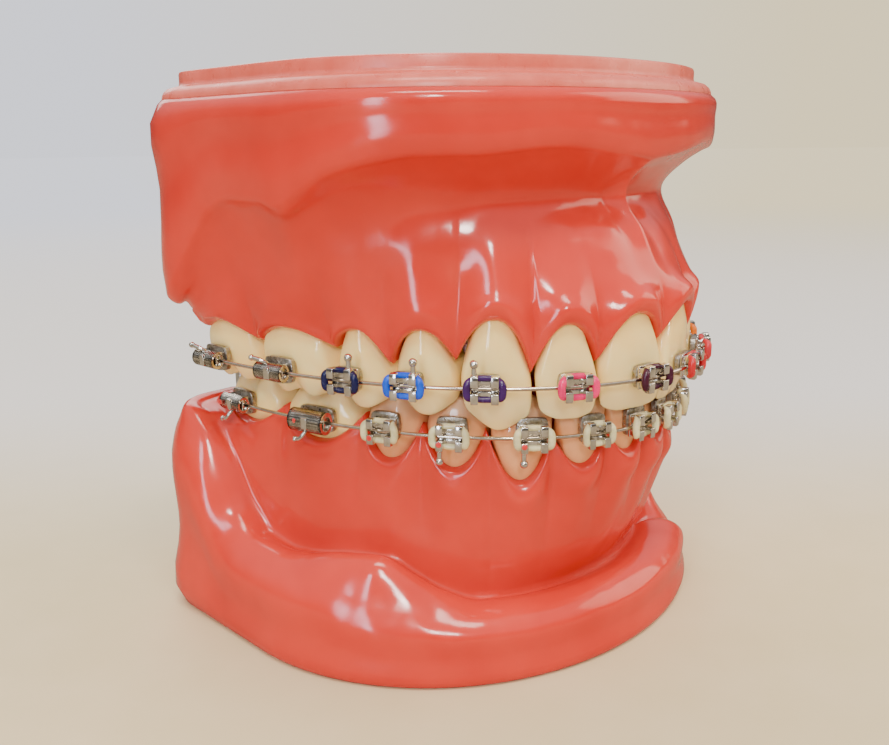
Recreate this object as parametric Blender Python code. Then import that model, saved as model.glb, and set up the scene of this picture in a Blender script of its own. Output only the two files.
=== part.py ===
"""An orthodontic demonstration typodont: two gum bases with teeth, brackets and archwires, on a rear hinge.

Lengths are drawn in millimetres and each finished mesh is scaled to metres. +Z is up and -Y is the front.
Patient's right is -X. Heights called h are measured from a base's flat face towards its teeth.
"""
import math

import bmesh
import bpy
import numpy as np
from mathutils import Matrix, Vector

MM = 0.001
GAP = 0.3            # between parts that touch in the real model
CENTRE_Y = 0.7       # centre that the base sections turn about
FRONT_Y = -26.3      # face of the upper incisors
BACK_Y = 23.7        # flat back of both bases
LEDGE_Z = 58.3       # flat top of the upper base
PLATE_TOP_Z = 61.2
PIN_Y, PIN_Z = BACK_Y + 2.8, 28.0
BASE_SEGMENTS = 74
TOOTH_SIDES = 8
BRACKET_REACH = 1.35  # archwire centre in front of the tooth faces
WIRE_RADIUS = 0.22

# Rings from crown tip to root end: height as a share of the crown, width share, recess and thickness as
# shares of the tooth's depth.
TOOTH_RINGS = {
    "incisor": [(1.00, 0.00, 0.17, 0.12), (0.985, 0.92, 0.16, 0.15), (0.86, 1.00, 0.09, 0.24),
                (0.62, 0.99, 0.02, 0.50), (0.30, 0.90, 0.00, 0.90), (0.02, 0.76, 0.06, 0.88),
                (-0.25, 0.60, 0.20, 0.60), (-0.50, 0.44, 0.42, 0.34), (-0.56, 0.00, 0.42, 0.34)],
    "canine": [(1.00, 0.00, 0.20, 0.12), (0.93, 0.40, 0.15, 0.18), (0.76, 0.96, 0.05, 0.34),
               (0.55, 1.00, 0.00, 0.60), (0.30, 0.90, 0.00, 0.88), (0.02, 0.76, 0.06, 0.86),
               (-0.25, 0.62, 0.18, 0.64), (-0.50, 0.44, 0.30, 0.40), (-0.56, 0.00, 0.30, 0.40)],
    "molar": [(0.80, 0.00, 0.30, 0.40), (0.82, 0.40, 0.32, 0.34), (1.00, 0.80, 0.14, 0.68),
              (0.78, 0.99, 0.02, 0.93), (0.42, 0.98, 0.00, 1.00), (0.02, 0.82, 0.07, 0.86),
              (-0.30, 0.66, 0.17, 0.66), (-0.60, 0.48, 0.26, 0.48), (-0.68, 0.00, 0.26, 0.48)],
}
# name, ring family, width, depth, crown tip z, gum margin z, fossa-side lift, hook side (+1 mesial, -1 distal),
# bracket shift away from the midline
UPPER_TEETH = [
    ("central_incisor", "incisor", 8.5, 6.5, 27.4, 37.2, 0.0, 0, -0.8),
    ("lateral_incisor", "incisor", 6.8, 6.0, 27.1, 36.7, 0.0, 0, -0.3),
    ("canine", "canine", 7.6, 7.6, 26.0, 37.3, 0.0, -1, 0.9),
    ("first_premolar", "molar", 7.0, 8.8, 27.4, 36.1, 1.5, 1, 1.1),
    ("second_premolar", "molar", 6.8, 8.8, 27.5, 35.8, 1.5, 1, 0.7),
    ("first_molar", "molar", 10.2, 10.6, 27.8, 35.3, 1.3, 0, 0.7),
    ("second_molar", "molar", 9.8, 10.4, 28.2, 35.0, 0.8, 0, 0.6),
]
LOWER_TEETH = [
    ("central_incisor", "incisor", 5.4, 5.6, 28.8, 22.6, 0.0, 0, -0.4),
    ("lateral_incisor", "incisor", 5.9, 5.8, 28.8, 21.9, 0.0, 0, -0.8),
    ("canine", "canine", 6.8, 7.0, 29.2, 20.4, 0.0, -1, -1.0),
    ("first_premolar", "molar", 7.0, 7.6, 28.5, 21.6, 0.0, -1, 0.0),
    ("second_premolar", "molar", 7.1, 8.0, 28.5, 22.0, 0.0, 0, 0.0),
    ("first_molar", "molar", 11.0, 10.0, 28.5, 22.9, 0.0, 0, -0.7),
    ("second_molar", "molar", 10.5, 9.8, 28.5, 23.2, 0.0, 0, 0.3),
]
# Curves over the angle from the front, in degrees: rim and fold of the vestibule.
UPPER = dict(
    name="upper", up=-1, face_z=LEDGE_Z, half=27.3, depth=42.1, front=0.0, slot_z=31.0, base_front=1.7, base_half=30.2, rear_flare=0.7, base_shoulder=0.7, roundness=2.2,
    flare=0.0, floor=12.1, pad=23.4, corner=9.0, left_drop=0.0, teeth=UPPER_TEETH,
    rim=[(0, 6.8), (12, 6.3), (30, 5.4), (47, 6.0), (56, 6.0), (64, 6.6), (72, 7.7), (79, 9.7), (84, 10.9),
         (90, 10.3), (98, 10.3), (105, 11.4), (112, 15.6), (118, 20.4), (124, 22.1), (134, 22.3)],
    shoulder=[(0, 6.1), (12, 5.6), (30, 4.8), (47, 5.4), (56, 5.4), (64, 5.9), (72, 6.9), (79, 8.8), (84, 10.0),
              (90, 9.5), (98, 9.5), (105, 10.6), (112, 14.6), (118, 19.2), (124, 21.0), (134, 21.2)],
    rim_inset=[(0, 1.1), (70, 1.1), (84, 0.8), (107, 0.9), (121, 0.7)],
    fold=[(0, 9.6), (6, 9.9), (47, 9.9), (68, 10.7), (80, 12.3), (86, 13.6), (96, 15.3), (106, 16.9), (114, 19.8),
          (120, 22.1), (128, 23.1)],
    fold_inset=[(0, 3.6), (6, 5.2), (55, 5.4), (70, 4.4), (80, 2.9), (85, 2.7), (94, 3.2), (104, 2.9), (114, 2.2),
                (122, 2.0)],
)
LOWER = dict(
    name="lower", up=1, face_z=0.0, half=24.4, depth=38.6, front=2.0, slot_z=25.4, base_front=1.5, base_half=31.0, rear_flare=0.0, base_shoulder=3.0, roundness=2.0, left_drop=3.2,
    flare=-0.45, floor=12.9, pad=25.2, corner=6.0, teeth=LOWER_TEETH,
    rim=[(0, 7.2), (30, 7.2), (45, 7.4), (55, 9.0), (62, 10.8), (70, 12.6), (80, 12.2), (88, 11.3), (96, 10.7),
         (104, 11.0), (110, 13.2), (114, 18.0), (118, 22.2), (123, 24.6), (134, 24.8)],
    shoulder=[(0, 6.4), (45, 6.8), (62, 6.8), (72, 7.6), (80, 8.8), (96, 8.6), (107, 9.4), (111, 12.4), (115, 18.0),
              (120, 21.0), (128, 22.0)],
    rim_inset=[(0, 3.4), (30, 3.8), (45, 4.2), (80, 4.5), (96, 4.2), (107, 3.2), (114, 2.6), (125, 2.4)],
    fold=[(0, 6.4), (30, 6.4), (45, 6.6), (55, 8.0), (62, 9.7), (70, 11.4), (80, 11.2), (90, 10.4), (98, 9.9),
          (106, 10.7), (111, 13.8), (116, 19.8), (122, 23.8), (130, 24.4)],
    fold_inset=[(0, 5.8), (45, 6.2), (80, 6.6), (98, 6.2), (108, 5.4), (116, 4.6), (126, 4.0)],
)


# ---------------------------------------------------------------- curves shared by the parts

def smooth(knots, x):
    """A smooth curve through (x, value) knots."""
    xs, ys = np.array(knots, float).T
    x = min(max(x, xs[0]), xs[-1])
    i = min(int(np.searchsorted(xs, x, side="right")) - 1, len(xs) - 2)
    steep = np.diff(ys) / np.diff(xs)
    inner = [0.0 if a * b <= 0 else 2 * a * b / (a + b) for a, b in zip(steep, steep[1:])]
    slopes = [steep[0], *inner, steep[-1]]
    span = xs[i + 1] - xs[i]
    t = (x - xs[i]) / span
    return float(
        ys[i] * (1 + 2 * t) * (1 - t) ** 2 + ys[i + 1] * t * t * (3 - 2 * t)
        + span * (slopes[i] * t * (1 - t) ** 2 - slopes[i + 1] * t * t * (1 - t))
    )


def step(low, high, x):
    t = min(max((x - low) / (high - low), 0.0), 1.0)
    return t * t * (3 - 2 * t)


def arch_table(jaw):
    """Arc length, x, y and outward normal along one side of the line of tooth faces."""
    turn = np.radians(np.linspace(0, 112, 900))
    x = jaw["half"] * np.sin(turn)
    y = FRONT_Y + jaw["front"] + jaw["depth"] * (1 - np.cos(turn))
    length = np.concatenate([[0], np.cumsum(np.hypot(np.diff(x), np.diff(y)))])
    nx, ny = np.sin(turn) / jaw["half"], -np.cos(turn) / jaw["depth"]
    size = np.hypot(nx, ny)
    return length, x, y, nx / size, ny / size


def arch_at(jaw, along, out=0.0):
    """The point and the outward normal at a signed arc length from the midline."""
    length, x, y, nx, ny = jaw["table"]
    side = -1 if along < 0 else 1
    px, py, ox, oy = (float(np.interp(abs(along), length, c)) for c in (x, y, nx, ny))
    return Vector((side * (px + ox * out), py + oy * out, 0)), Vector((side * ox, oy, 0))


def outline_inside(jaw, x, y, inset):
    """Whether a point is inside the base's outline: a rounded front, straight sides and rounded rear corners."""
    half, back, shoulder = jaw["base_half"] - inset, BACK_Y - inset, jaw["base_shoulder"]
    front, corner = FRONT_Y + jaw["base_front"] + inset, max(jaw["corner"] - inset, 1.0)
    if y < shoulder:
        run = (shoulder - y) / (shoulder - front)
        return abs(x / half) ** jaw["roundness"] + run ** jaw["roundness"] < 1
    dx, dy = abs(x) - (half - corner), y - (back - corner)
    if dx > 0 and dy > 0:
        return dx * dx + dy * dy < corner * corner
    return abs(x) < half and y < back


def reach(jaw, angle, inset):
    """How far the outline is from the centre in the direction of an angle from the front."""
    low, high = 0.0, 60.0
    for _ in range(26):
        mid = (low + high) / 2
        inside = outline_inside(jaw, mid * math.sin(angle), CENTRE_Y - mid * math.cos(angle), inset)
        low, high = (mid, high) if inside else (low, mid)
    return low


def tooth_centres(jaw):
    """Arc length from the midline to each tooth's centre, on one side."""
    ends = np.cumsum([tooth[2] for tooth in jaw["teeth"]])
    return [end - tooth[2] / 2 for end, tooth in zip(ends, jaw["teeth"])]


def gum_margin(jaw, along):
    """Height of the gum margin above the base's face, how far the teeth recede there, and their depth."""
    centres = tooth_centres(jaw)
    for centre, tooth in zip(centres, jaw["teeth"]):
        across = (along - centre) / (tooth[2] / 2)
        if across <= 1 or tooth is jaw["teeth"][-1]:
            break
    across = min(abs(across), 1.0)
    low = abs(tooth[5] - jaw["face_z"])
    papilla = 3.4 * across ** 2.2
    recede = 1.1 * across ** 2.5
    past = step(centres[-1] + 3.5, centres[-1] + 7.0, along)
    height = (low + papilla) * (1 - past) + jaw["pad"] * past
    return height, recede * (1 - past), float(np.interp(along, centres, [t[3] for t in jaw["teeth"]]))


def gum_section(jaw, angle):
    """One side of the base, cut through the centre: (distance, height) from the face's middle to the floor's."""
    turn = abs(angle)
    degrees = math.degrees(turn)
    length, x, y, _, _ = jaw["table"]
    seen = np.arctan2(x, CENTRE_Y - y)
    along = float(np.interp(turn, seen, length))
    ridge = 1 - step(134, 152, degrees)
    back = step(118, 134, degrees)
    rim, fold, shoulder = (smooth(jaw[curve], degrees) for curve in ("rim", "fold", "shoulder"))
    flare = (jaw["flare"] * (1 - step(123, 135, degrees))
             + jaw["rear_flare"] * step(106, 118, degrees) * (1 - step(126, 136, degrees)))
    drop = jaw["left_drop"] * step(38, 54, degrees) * (1 - step(76, 96, degrees)) if angle > 0 else 0.0
    rim_inset, fold_inset = smooth(jaw["rim_inset"], degrees), smooth(jaw["fold_inset"], degrees)
    fold_reach = reach(jaw, turn, fold_inset)
    tooth_face = min(
        float(np.interp(turn, seen, np.hypot(x, y - CENTRE_Y))),
        fold_reach - 1.5 + 12 * (1 - step(112, 124, degrees)),
    )
    margin, recede, depth = gum_margin(jaw, along)
    margin, recede = margin * (1 - back) + jaw["pad"] * back, recede * (1 - back)
    low = jaw["floor"]
    rim, fold, shoulder = rim - drop - 0.8 * (1 - ridge), fold - drop - 0.3 * (1 - ridge), shoulder - drop
    low_buccal, high_buccal = fold + 0.36 * (margin - fold), fold + 0.74 * (margin - fold)

    def on_ridge(height):
        return low + (height - low) * ridge if height > low else height

    rim, fold = on_ridge(rim) - 0.8 * (1 - ridge), on_ridge(fold) - 0.4 * (1 - ridge)
    shoulder = min(on_ridge(shoulder), rim - 0.6)
    face = max(fold_reach, tooth_face)
    lingual = tooth_face - depth
    return [
        (0.0, 0.0),
        (0.62 * reach(jaw, turn, 0.8), 0.0),
        (reach(jaw, turn, 0.8), 0.0),
        (reach(jaw, turn, 0.0), 0.8),
        (reach(jaw, turn, -0.6 * flare), 0.45 * shoulder),
        (reach(jaw, turn, -flare), shoulder - 0.9),
        (reach(jaw, turn, rim_inset * 0.28 - flare), shoulder + 0.3 * (rim - shoulder)),
        (reach(jaw, turn, rim_inset), rim),
        (fold_reach, fold),
        (0.58 * fold_reach + 0.42 * (tooth_face + 0.5), on_ridge(low_buccal) - 0.2 * (1 - ridge)),
        ((0.2 * fold_reach + 0.8 * (tooth_face + 0.5)) * (1 - back)
         + (0.7 * tooth_face + 0.3 * face) * back - 0.2 * recede,
         on_ridge(high_buccal) - 0.1 * (1 - ridge)),
        (tooth_face + 0.35 * (1 - back) - recede, on_ridge(margin - 0.7)),
        (tooth_face - 0.7 - recede, on_ridge(margin)),
        (lingual + 1.2, on_ridge(margin)),
        (lingual - 0.4, on_ridge(margin - 1.2)),
        (lingual - 2.0, on_ridge(0.45 * margin + 0.55 * low)),
        (lingual - 4.5, on_ridge(low + 0.6)),
        (0.45 * (lingual - 4.5), low),
        (0.0, low),
    ]


# ---------------------------------------------------------------- meshes

def ring_solid(sides, rings):
    """A UV sphere with one ring for each entry of rings, poles included; ring 0 is the top pole."""
    mesh = bmesh.new()
    bmesh.ops.create_uvsphere(mesh, u_segments=sides, v_segments=len(rings) - 1, radius=1.0)
    for vert in mesh.verts:
        row = round(math.acos(max(-1.0, min(1.0, vert.co.z))) / math.pi * (len(rings) - 1))
        vert.co = rings[row](math.atan2(vert.co.y, vert.co.x))
    return mesh


def swept_solid(jaw, sections, segments):
    """A closed solid from a section for each angle from the front; heights run from the jaw's flat face."""
    count = len(sections(0.0))
    mesh = bmesh.new()
    bmesh.ops.create_uvsphere(mesh, u_segments=segments, v_segments=count - 1, radius=1.0)
    known = {}
    for vert in mesh.verts:
        row = round(math.acos(max(-1.0, min(1.0, -vert.co.z))) / math.pi * (count - 1))
        angle = 0.0 if row in (0, count - 1) else math.atan2(vert.co.x, -vert.co.y)
        key = round(angle, 5)
        if key not in known:
            known[key] = sections(angle)
        distance, height = known[key][row]
        vert.co = (
            distance * math.sin(angle),
            CENTRE_Y - distance * math.cos(angle),
            jaw["face_z"] + jaw["up"] * height,
        )
    if jaw["up"] < 0:
        bmesh.ops.reverse_faces(mesh, faces=mesh.faces)
    return mesh


def tooth_mesh(jaw, tooth, grow=0.0):
    """A tooth with its root: the origin is on the arch line at the gum margin, x mesial-distal, +y lingual."""
    _, family, width, depth, tip, margin, lift, _, _ = tooth
    crown = abs(tip - margin)
    rings = TOOTH_RINGS[family]
    roundness = 3.0 if family == "molar" else 2.5
    taper = 0.10 if family == "molar" else 0.30

    def ring(row):
        share, wide, recess, thick = rings[row]

        def place(angle):
            across, inward = math.cos(angle), math.sin(angle)
            shape = [math.copysign(abs(c) ** (2 / roundness), c) for c in (across, inward)]
            half_width = wide * (width * 0.5 - 0.15) + grow
            half_depth = thick * depth / 2 + grow
            x = shape[0] * half_width * (1 - taper * (shape[1] + 1) / 2) if wide else 0.0
            y = recess * depth + thick * depth / 2 + (shape[1] * half_depth if wide else 0.0)
            z = share * crown
            if row == 2:
                z -= lift * min(1.0, 1 + shape[1]) if lift else 0.0
            if row == len(rings) - 1:
                z -= grow
            return Vector((x, y, jaw["up"] * z))

        return place

    mesh = ring_solid(TOOTH_SIDES, [ring(row) for row in range(len(rings))])
    if jaw["up"] < 0:
        bmesh.ops.reverse_faces(mesh, faces=mesh.faces)
    return mesh


def box_mesh(low, high):
    mesh = bmesh.new()
    bmesh.ops.create_cube(mesh, size=1.0)
    for vert in mesh.verts:
        vert.co = [low[k] if vert.co[k] < 0 else high[k] for k in range(3)]
    return mesh


def rod_mesh(radius, length, sides, axis="X"):
    """A closed round bar, centred on the origin."""
    mesh = bmesh.new()
    bmesh.ops.create_cone(mesh, cap_ends=True, segments=sides, radius1=radius, radius2=radius, depth=length)
    turn = Matrix.Rotation(math.pi / 2, 3, "Y" if axis == "X" else "X")
    if axis != "Z":
        bmesh.ops.rotate(mesh, verts=mesh.verts, matrix=turn)
    return mesh


def pulled_mesh(outline, low, high):
    """A flat outline in (y, z), pulled along x."""
    mesh = bmesh.new()
    corners = [mesh.verts.new((low, y, z)) for y, z in outline]
    face = mesh.faces.new(corners)
    made = bmesh.ops.extrude_face_region(mesh, geom=[face])
    moved = [item for item in made["geom"] if isinstance(item, bmesh.types.BMVert)]
    bmesh.ops.translate(mesh, verts=moved, vec=(high - low, 0, 0))
    bmesh.ops.recalc_face_normals(mesh, faces=mesh.faces)
    return mesh


def turned_mesh(profile, sides):
    """A solid turned about y, from a (radius, y) profile that starts and ends on the axis."""
    mesh = bmesh.new()
    line = [mesh.verts.new((radius, along, 0)) for radius, along in profile]
    edges = [mesh.edges.new(pair) for pair in zip(line, line[1:])]
    bmesh.ops.spin(mesh, geom=line + edges, cent=(0, 0, 0), axis=(0, 1, 0), angle=2 * math.pi, steps=sides)
    bmesh.ops.remove_doubles(mesh, verts=mesh.verts, dist=0.001)
    bmesh.ops.recalc_face_normals(mesh, faces=mesh.faces)
    return mesh


# ---------------------------------------------------------------- objects

def material(name, colour, roughness, metallic=0.0):
    made = bpy.data.materials.new(name)
    made.use_nodes = True
    shader = made.node_tree.nodes["Principled BSDF"]
    shader.inputs["Base Color"].default_value = (*colour, 1.0)
    shader.inputs["Roughness"].default_value = roughness
    shader.inputs["Metallic"].default_value = metallic
    return made


def add_object(name, mesh, group, finish=None, matrix=None):
    """A bmesh in millimetres becomes an object in metres. Cutters go to the cutters collection, unrendered."""
    bmesh.ops.scale(mesh, vec=(MM, MM, MM), verts=mesh.verts)
    data = bpy.data.meshes.new(name)
    mesh.to_mesh(data)
    mesh.free()
    made = bpy.data.objects.new(name, data)
    group.objects.link(made)
    if matrix is not None:
        made.matrix_world = matrix
    if finish is None:
        made.hide_render = True
        made.display_type = "WIRE"
    else:
        data.materials.append(finish)
    return made


def boolean(target, other, operation):
    made = target.modifiers.new(other.name, "BOOLEAN")
    made.operation = operation
    made.object = other
    made.solver = "EXACT"


def placed(point, z, outward, along=0.0):
    """A matrix whose +y points at the lingual side, standing at a point of the arch."""
    turn = math.atan2(outward.x, -outward.y)
    spot = Matrix.Translation(Vector((point.x, point.y, z)) * MM) @ Matrix.Rotation(turn, 4, "Z")
    return spot @ Matrix.Translation((along * MM, 0, 0))


def bracket_outline():
    """Side view of a bracket: pad, neck, two tie wings and the archwire slot. -y is the front."""
    half = [(0.00, 1.50), (-0.45, 1.50), (-0.45, 0.95), (-1.00, 0.95), (-0.85, 1.40), (-1.15, 1.50),
            (-1.80, 0.95), (-1.80, 0.33), (-0.78, 0.33)]
    return [(y, -z) for y, z in half] + [(y, z) for y, z in reversed(half)]


def add_bracket(name, jaw, hook, side, matrix, group, cutters, finish):
    """A twin bracket on the tooth's face. A hook stands on one gum-side wing."""
    body = add_object(name, pulled_mesh(bracket_outline(), -1.45, 1.45), group, finish, matrix)
    groove = box_mesh((-0.45, -2.5, -2.5), (0.45, -1.02, 2.5))
    boolean(body, add_object(name + "_groove", groove, cutters, None, matrix), "DIFFERENCE")
    if hook:
        gumwards = -jaw["up"]
        shift = 0.95 * hook * side * -1
        stem = turned_mesh([(0.0, 1.1), (0.24, 1.1), (0.24, 2.9), (0.42, 3.2), (0.3, 3.5), (0.0, 3.6)], 6)
        bmesh.ops.rotate(stem, verts=stem.verts, matrix=Matrix.Rotation(math.pi / 2 * gumwards, 3, "X"))
        bmesh.ops.translate(stem, verts=stem.verts, vec=(shift, -1.35, 0))
        boolean(body, add_object(name + "_hook", stem, cutters, None, matrix), "UNION")
    return body


def add_tube(tooth, name, matrix, group, cutters):
    """A buccal tube joined to its molar: a pad sunk in the tooth's face and a bored barrel on it."""
    pad = box_mesh((-1.9, -0.72, -1.1), (1.9, 1.0, 1.1))
    boolean(tooth, add_object(name + "_pad", pad, cutters, None, matrix), "UNION")
    shift = Matrix.Translation((0, -BRACKET_REACH * MM, 0))
    barrel = rod_mesh(0.95, 4.4, 8)
    boolean(tooth, add_object(name + "_barrel", barrel, cutters, None, matrix @ shift), "UNION")
    bore = rod_mesh(0.5, 6.0, 8)
    boolean(tooth, add_object(name + "_bore", bore, cutters, None, matrix @ shift), "DIFFERENCE")


def add_archwire(jaw, group, finish):
    """A round wire through every slot and tube, as one open curve with capped ends."""
    end = tooth_centres(jaw)[-1] + 3.4
    line = bpy.data.curves.new(jaw["name"] + "_archwire", "CURVE")
    line.dimensions = "3D"
    line.bevel_depth = WIRE_RADIUS * MM
    line.bevel_resolution = 2
    line.use_fill_caps = True
    stops = np.linspace(-end, end, 58)
    spline = line.splines.new("POLY")
    spline.points.add(len(stops) - 1)
    for spot, along in zip(spline.points, stops):
        point, _ = arch_at(jaw, along, BRACKET_REACH)
        spot.co = (point.x * MM, point.y * MM, jaw["slot_z"] * MM, 1)
    line.materials.append(finish)
    group.objects.link(bpy.data.objects.new(jaw["name"] + "_archwire", line))


def add_jaw(jaw, group, cutters, finishes):
    """The base with its sockets, the teeth, the brackets and the wire of one jaw."""
    base = add_object(
        jaw["name"] + "_base",
        swept_solid(jaw, lambda angle: gum_section(jaw, angle), BASE_SEGMENTS),
        group, finishes["gum"],
    )
    for tooth, centre in zip(jaw["teeth"], tooth_centres(jaw)):
        for side, side_name in ((-1, "right"), (1, "left")):
            name = f"{jaw['name']}_{side_name}_{tooth[0]}"
            point, outward = arch_at(jaw, side * centre)
            spot = placed(point, tooth[5], outward)
            socket = tooth_mesh(jaw, tooth, GAP)
            boolean(base, add_object(name + "_socket", socket, cutters, None, spot), "DIFFERENCE")
            made = add_object(name, tooth_mesh(jaw, tooth), group, finishes["tooth"], spot)
            point, outward = arch_at(jaw, side * (centre + tooth[8]), GAP)
            slot = placed(point, jaw["slot_z"], outward)
            if tooth[0].endswith("_molar"):
                point, outward = arch_at(jaw, side * (centre + tooth[8]))
                add_tube(made, name, placed(point, jaw["slot_z"], outward), group, cutters)
            else:
                bracket = name + "_bracket"
                add_bracket(bracket, jaw, tooth[7], side, slot, group, cutters, finishes["steel"])
    add_archwire(jaw, group, finishes["steel"])
    return base


def add_top_plate(group, finish):
    """The stepped plate glued on the upper base: a sloping foot and an upright edge."""
    rows = [(60.0, 0.0), (0.5, 0.0), (1.5, 1.0), (2.4, 1.1), (2.5, 2.3), (2.8, 2.6), (60.0, 2.6)]
    plate = dict(UPPER, up=1, face_z=LEDGE_Z + GAP)

    def section(angle):
        return [(0.0 if inset > 50 else reach(UPPER, abs(angle), inset), height) for inset, height in rows]

    return add_object("upper_base_plate", swept_solid(plate, section, BASE_SEGMENTS), group, finish)


# ---------------------------------------------------------------- rear hinge

LEAF_HALF_WIDTH = 18.0
LEAF_THICK = 1.2
KNUCKLE_RADIUS = 1.8
KNUCKLE_SPLIT = 6.0
KNUCKLE_END = 13.0
PIN_RADIUS = 0.9
PIN_CLEARANCE = 0.08
SCREW_X = 14.0
LEAVES = dict(lower=(4.5, 9.0), upper=(53.5, 49.5))   # far edge z and screw z
SCREW_PROFILE = [(0.0, 1.0), (0.9, 1.0), (1.5, 0.6), (1.6, 0.0), (0.75, 0.0), (0.75, -7.0), (0.25, -7.8),
                 (0.0, -7.8)]


def leaf_outline(low, high, tabs):
    """Front view of a leaf in (x, z), with tabs that reach the pin."""
    step_z = PIN_Z - math.copysign(KNUCKLE_RADIUS + 0.5, PIN_Z - low)
    points = [(-LEAF_HALF_WIDTH, low), (LEAF_HALF_WIDTH, low), (LEAF_HALF_WIDTH, step_z)]
    for left, right in sorted(tabs, reverse=True):
        points += [(right, step_z), (right, PIN_Z), (left, PIN_Z), (left, step_z)]
    return points + [(-LEAF_HALF_WIDTH, step_z)]


def add_leaf(which, group, cutters, finish):
    far_z, screw_z = LEAVES[which]
    if which == "lower":
        tabs = [(-KNUCKLE_END, -KNUCKLE_SPLIT), (KNUCKLE_SPLIT, KNUCKLE_END)]
    else:
        tabs = [(-KNUCKLE_SPLIT + GAP, KNUCKLE_SPLIT - GAP)]
    front = BACK_Y + GAP
    mesh = pulled_mesh([(z, -x) for x, z in leaf_outline(far_z, PIN_Z, tabs)], front, front + LEAF_THICK)
    bmesh.ops.transform(mesh, verts=mesh.verts,
                        matrix=Matrix(((0, 0, -1, 0), (1, 0, 0, 0), (0, 1, 0, 0), (0, 0, 0, 1))))
    bmesh.ops.recalc_face_normals(mesh, faces=mesh.faces)
    leaf = add_object(which + "_hinge_leaf", mesh, group, finish)
    for left, right in tabs:
        spot = Matrix.Translation(Vector(((left + right) / 2, PIN_Y, PIN_Z)) * MM)
        name = f"{which}_knuckle_{round(right)}"
        boolean(leaf, add_object(name, rod_mesh(KNUCKLE_RADIUS, right - left, 20), cutters, None, spot), "UNION")
    spot = Matrix.Translation(Vector((0, PIN_Y, PIN_Z)) * MM)
    bore = rod_mesh(PIN_RADIUS + PIN_CLEARANCE, 40.0, 20)
    boolean(leaf, add_object(which + "_pin_bore", bore, cutters, None, spot), "DIFFERENCE")
    return leaf


def add_hinge(bases, group, cutters, finish):
    """Two leaves, the pin that joins them and a screw at each end of each leaf."""
    pin = rod_mesh(PIN_RADIUS, 2 * KNUCKLE_END + 0.8, 20)
    spot = Matrix.Translation(Vector((0, PIN_Y, PIN_Z)) * MM)
    heads = add_object("hinge_pin", pin, group, finish, spot)
    for side in (-1, 1):
        cap = rod_mesh(1.3, 0.6, 20)
        cap_spot = Matrix.Translation(Vector((side * (KNUCKLE_END + 0.7), PIN_Y, PIN_Z)) * MM)
        boolean(heads, add_object(f"pin_cap_{side}", cap, cutters, None, cap_spot), "UNION")
    for which, (_, screw_z) in LEAVES.items():
        leaf = add_leaf(which, group, cutters, finish)
        for side, side_name in ((-1, "right"), (1, "left")):
            name = f"{which}_{side_name}_hinge_screw"
            hole_spot = Matrix.Translation(Vector((side * SCREW_X, BACK_Y, screw_z)) * MM)
            hole = add_object(name + "_hole", rod_mesh(1.05, 17.0, 12, "Y"), cutters, None, hole_spot)
            boolean(leaf, hole, "DIFFERENCE")
            boolean(bases[which], hole, "DIFFERENCE")
            seat = BACK_Y + 2 * GAP + LEAF_THICK
            add_object(name, turned_mesh(SCREW_PROFILE, 12), group, finish,
                       Matrix.Translation(Vector((side * SCREW_X, seat, screw_z)) * MM))


def main():
    for old in list(bpy.data.objects):
        bpy.data.objects.remove(old)
    group = bpy.data.collections.new("typodont")
    cutters = bpy.data.collections.new("cutters")
    bpy.context.scene.collection.children.link(group)
    bpy.context.scene.collection.children.link(cutters)
    finishes = dict(
        gum=material("gum_resin", (0.72, 0.13, 0.09), 0.22),
        tooth=material("tooth_resin", (0.72, 0.56, 0.34), 0.25),
        steel=material("bracket_steel", (0.62, 0.60, 0.56), 0.25, 1.0),
        plate=material("plate_resin", (0.62, 0.24, 0.18), 0.35),
    )
    bases = {}
    for jaw in (LOWER, UPPER):
        jaw["table"] = arch_table(jaw)
        bases[jaw["name"]] = add_jaw(jaw, group, cutters, finishes)
    add_top_plate(group, finishes["plate"])
    add_hinge(bases, group, cutters, finishes["steel"])


main()
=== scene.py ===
"""Looks of the typodont: gum resin, teeth, twin brackets, tubes, elastic ties, archwires and the rear hinge.

Pieces are drawn in millimetres in the row frame and scaled to metres when they are finished.
The patient's right is -X and the front is -Y. Heights go from a base's flat face towards its teeth.
"""

import math
from bisect import bisect_right

import bmesh
import bpy
import numpy as np
from mathutils import Matrix, Vector, noise


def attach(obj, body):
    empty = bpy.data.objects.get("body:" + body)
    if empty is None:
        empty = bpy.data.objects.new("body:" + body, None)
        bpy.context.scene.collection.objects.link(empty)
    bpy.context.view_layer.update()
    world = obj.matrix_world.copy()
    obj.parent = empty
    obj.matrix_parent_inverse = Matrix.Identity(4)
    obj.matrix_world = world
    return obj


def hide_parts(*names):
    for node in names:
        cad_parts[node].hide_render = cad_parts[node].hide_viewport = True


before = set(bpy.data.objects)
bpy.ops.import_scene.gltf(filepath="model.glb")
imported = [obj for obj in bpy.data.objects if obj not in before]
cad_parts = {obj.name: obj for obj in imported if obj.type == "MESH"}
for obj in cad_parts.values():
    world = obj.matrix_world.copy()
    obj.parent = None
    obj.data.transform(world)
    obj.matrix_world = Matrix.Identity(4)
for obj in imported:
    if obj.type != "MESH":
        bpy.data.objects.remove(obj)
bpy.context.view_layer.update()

MM = 0.001
CENTRE_Y = 0.7  # what the sections of a base turn about
FRONT_Y = -26.3
BACK_Y = 23.7
LEDGE_Z = 58.3  # flat face of the upper base
PIN_Y, PIN_Z = BACK_Y + 2.8, 28.0
BITE_Z = 28.3
WIRE_REACH = 1.35  # from a tooth's face to the middle of the wire
WIRE_RADIUS = 0.2
PAD_REACH = 0.3
BASE_SEGMENTS, PLATE_SEGMENTS = 512, 240
PLATE_HEIGHT = 2.88
CROWN_CUTS = 15
PAD_CUTS = 11
SIDES = ((-1, "right"), (1, "left"))

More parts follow.
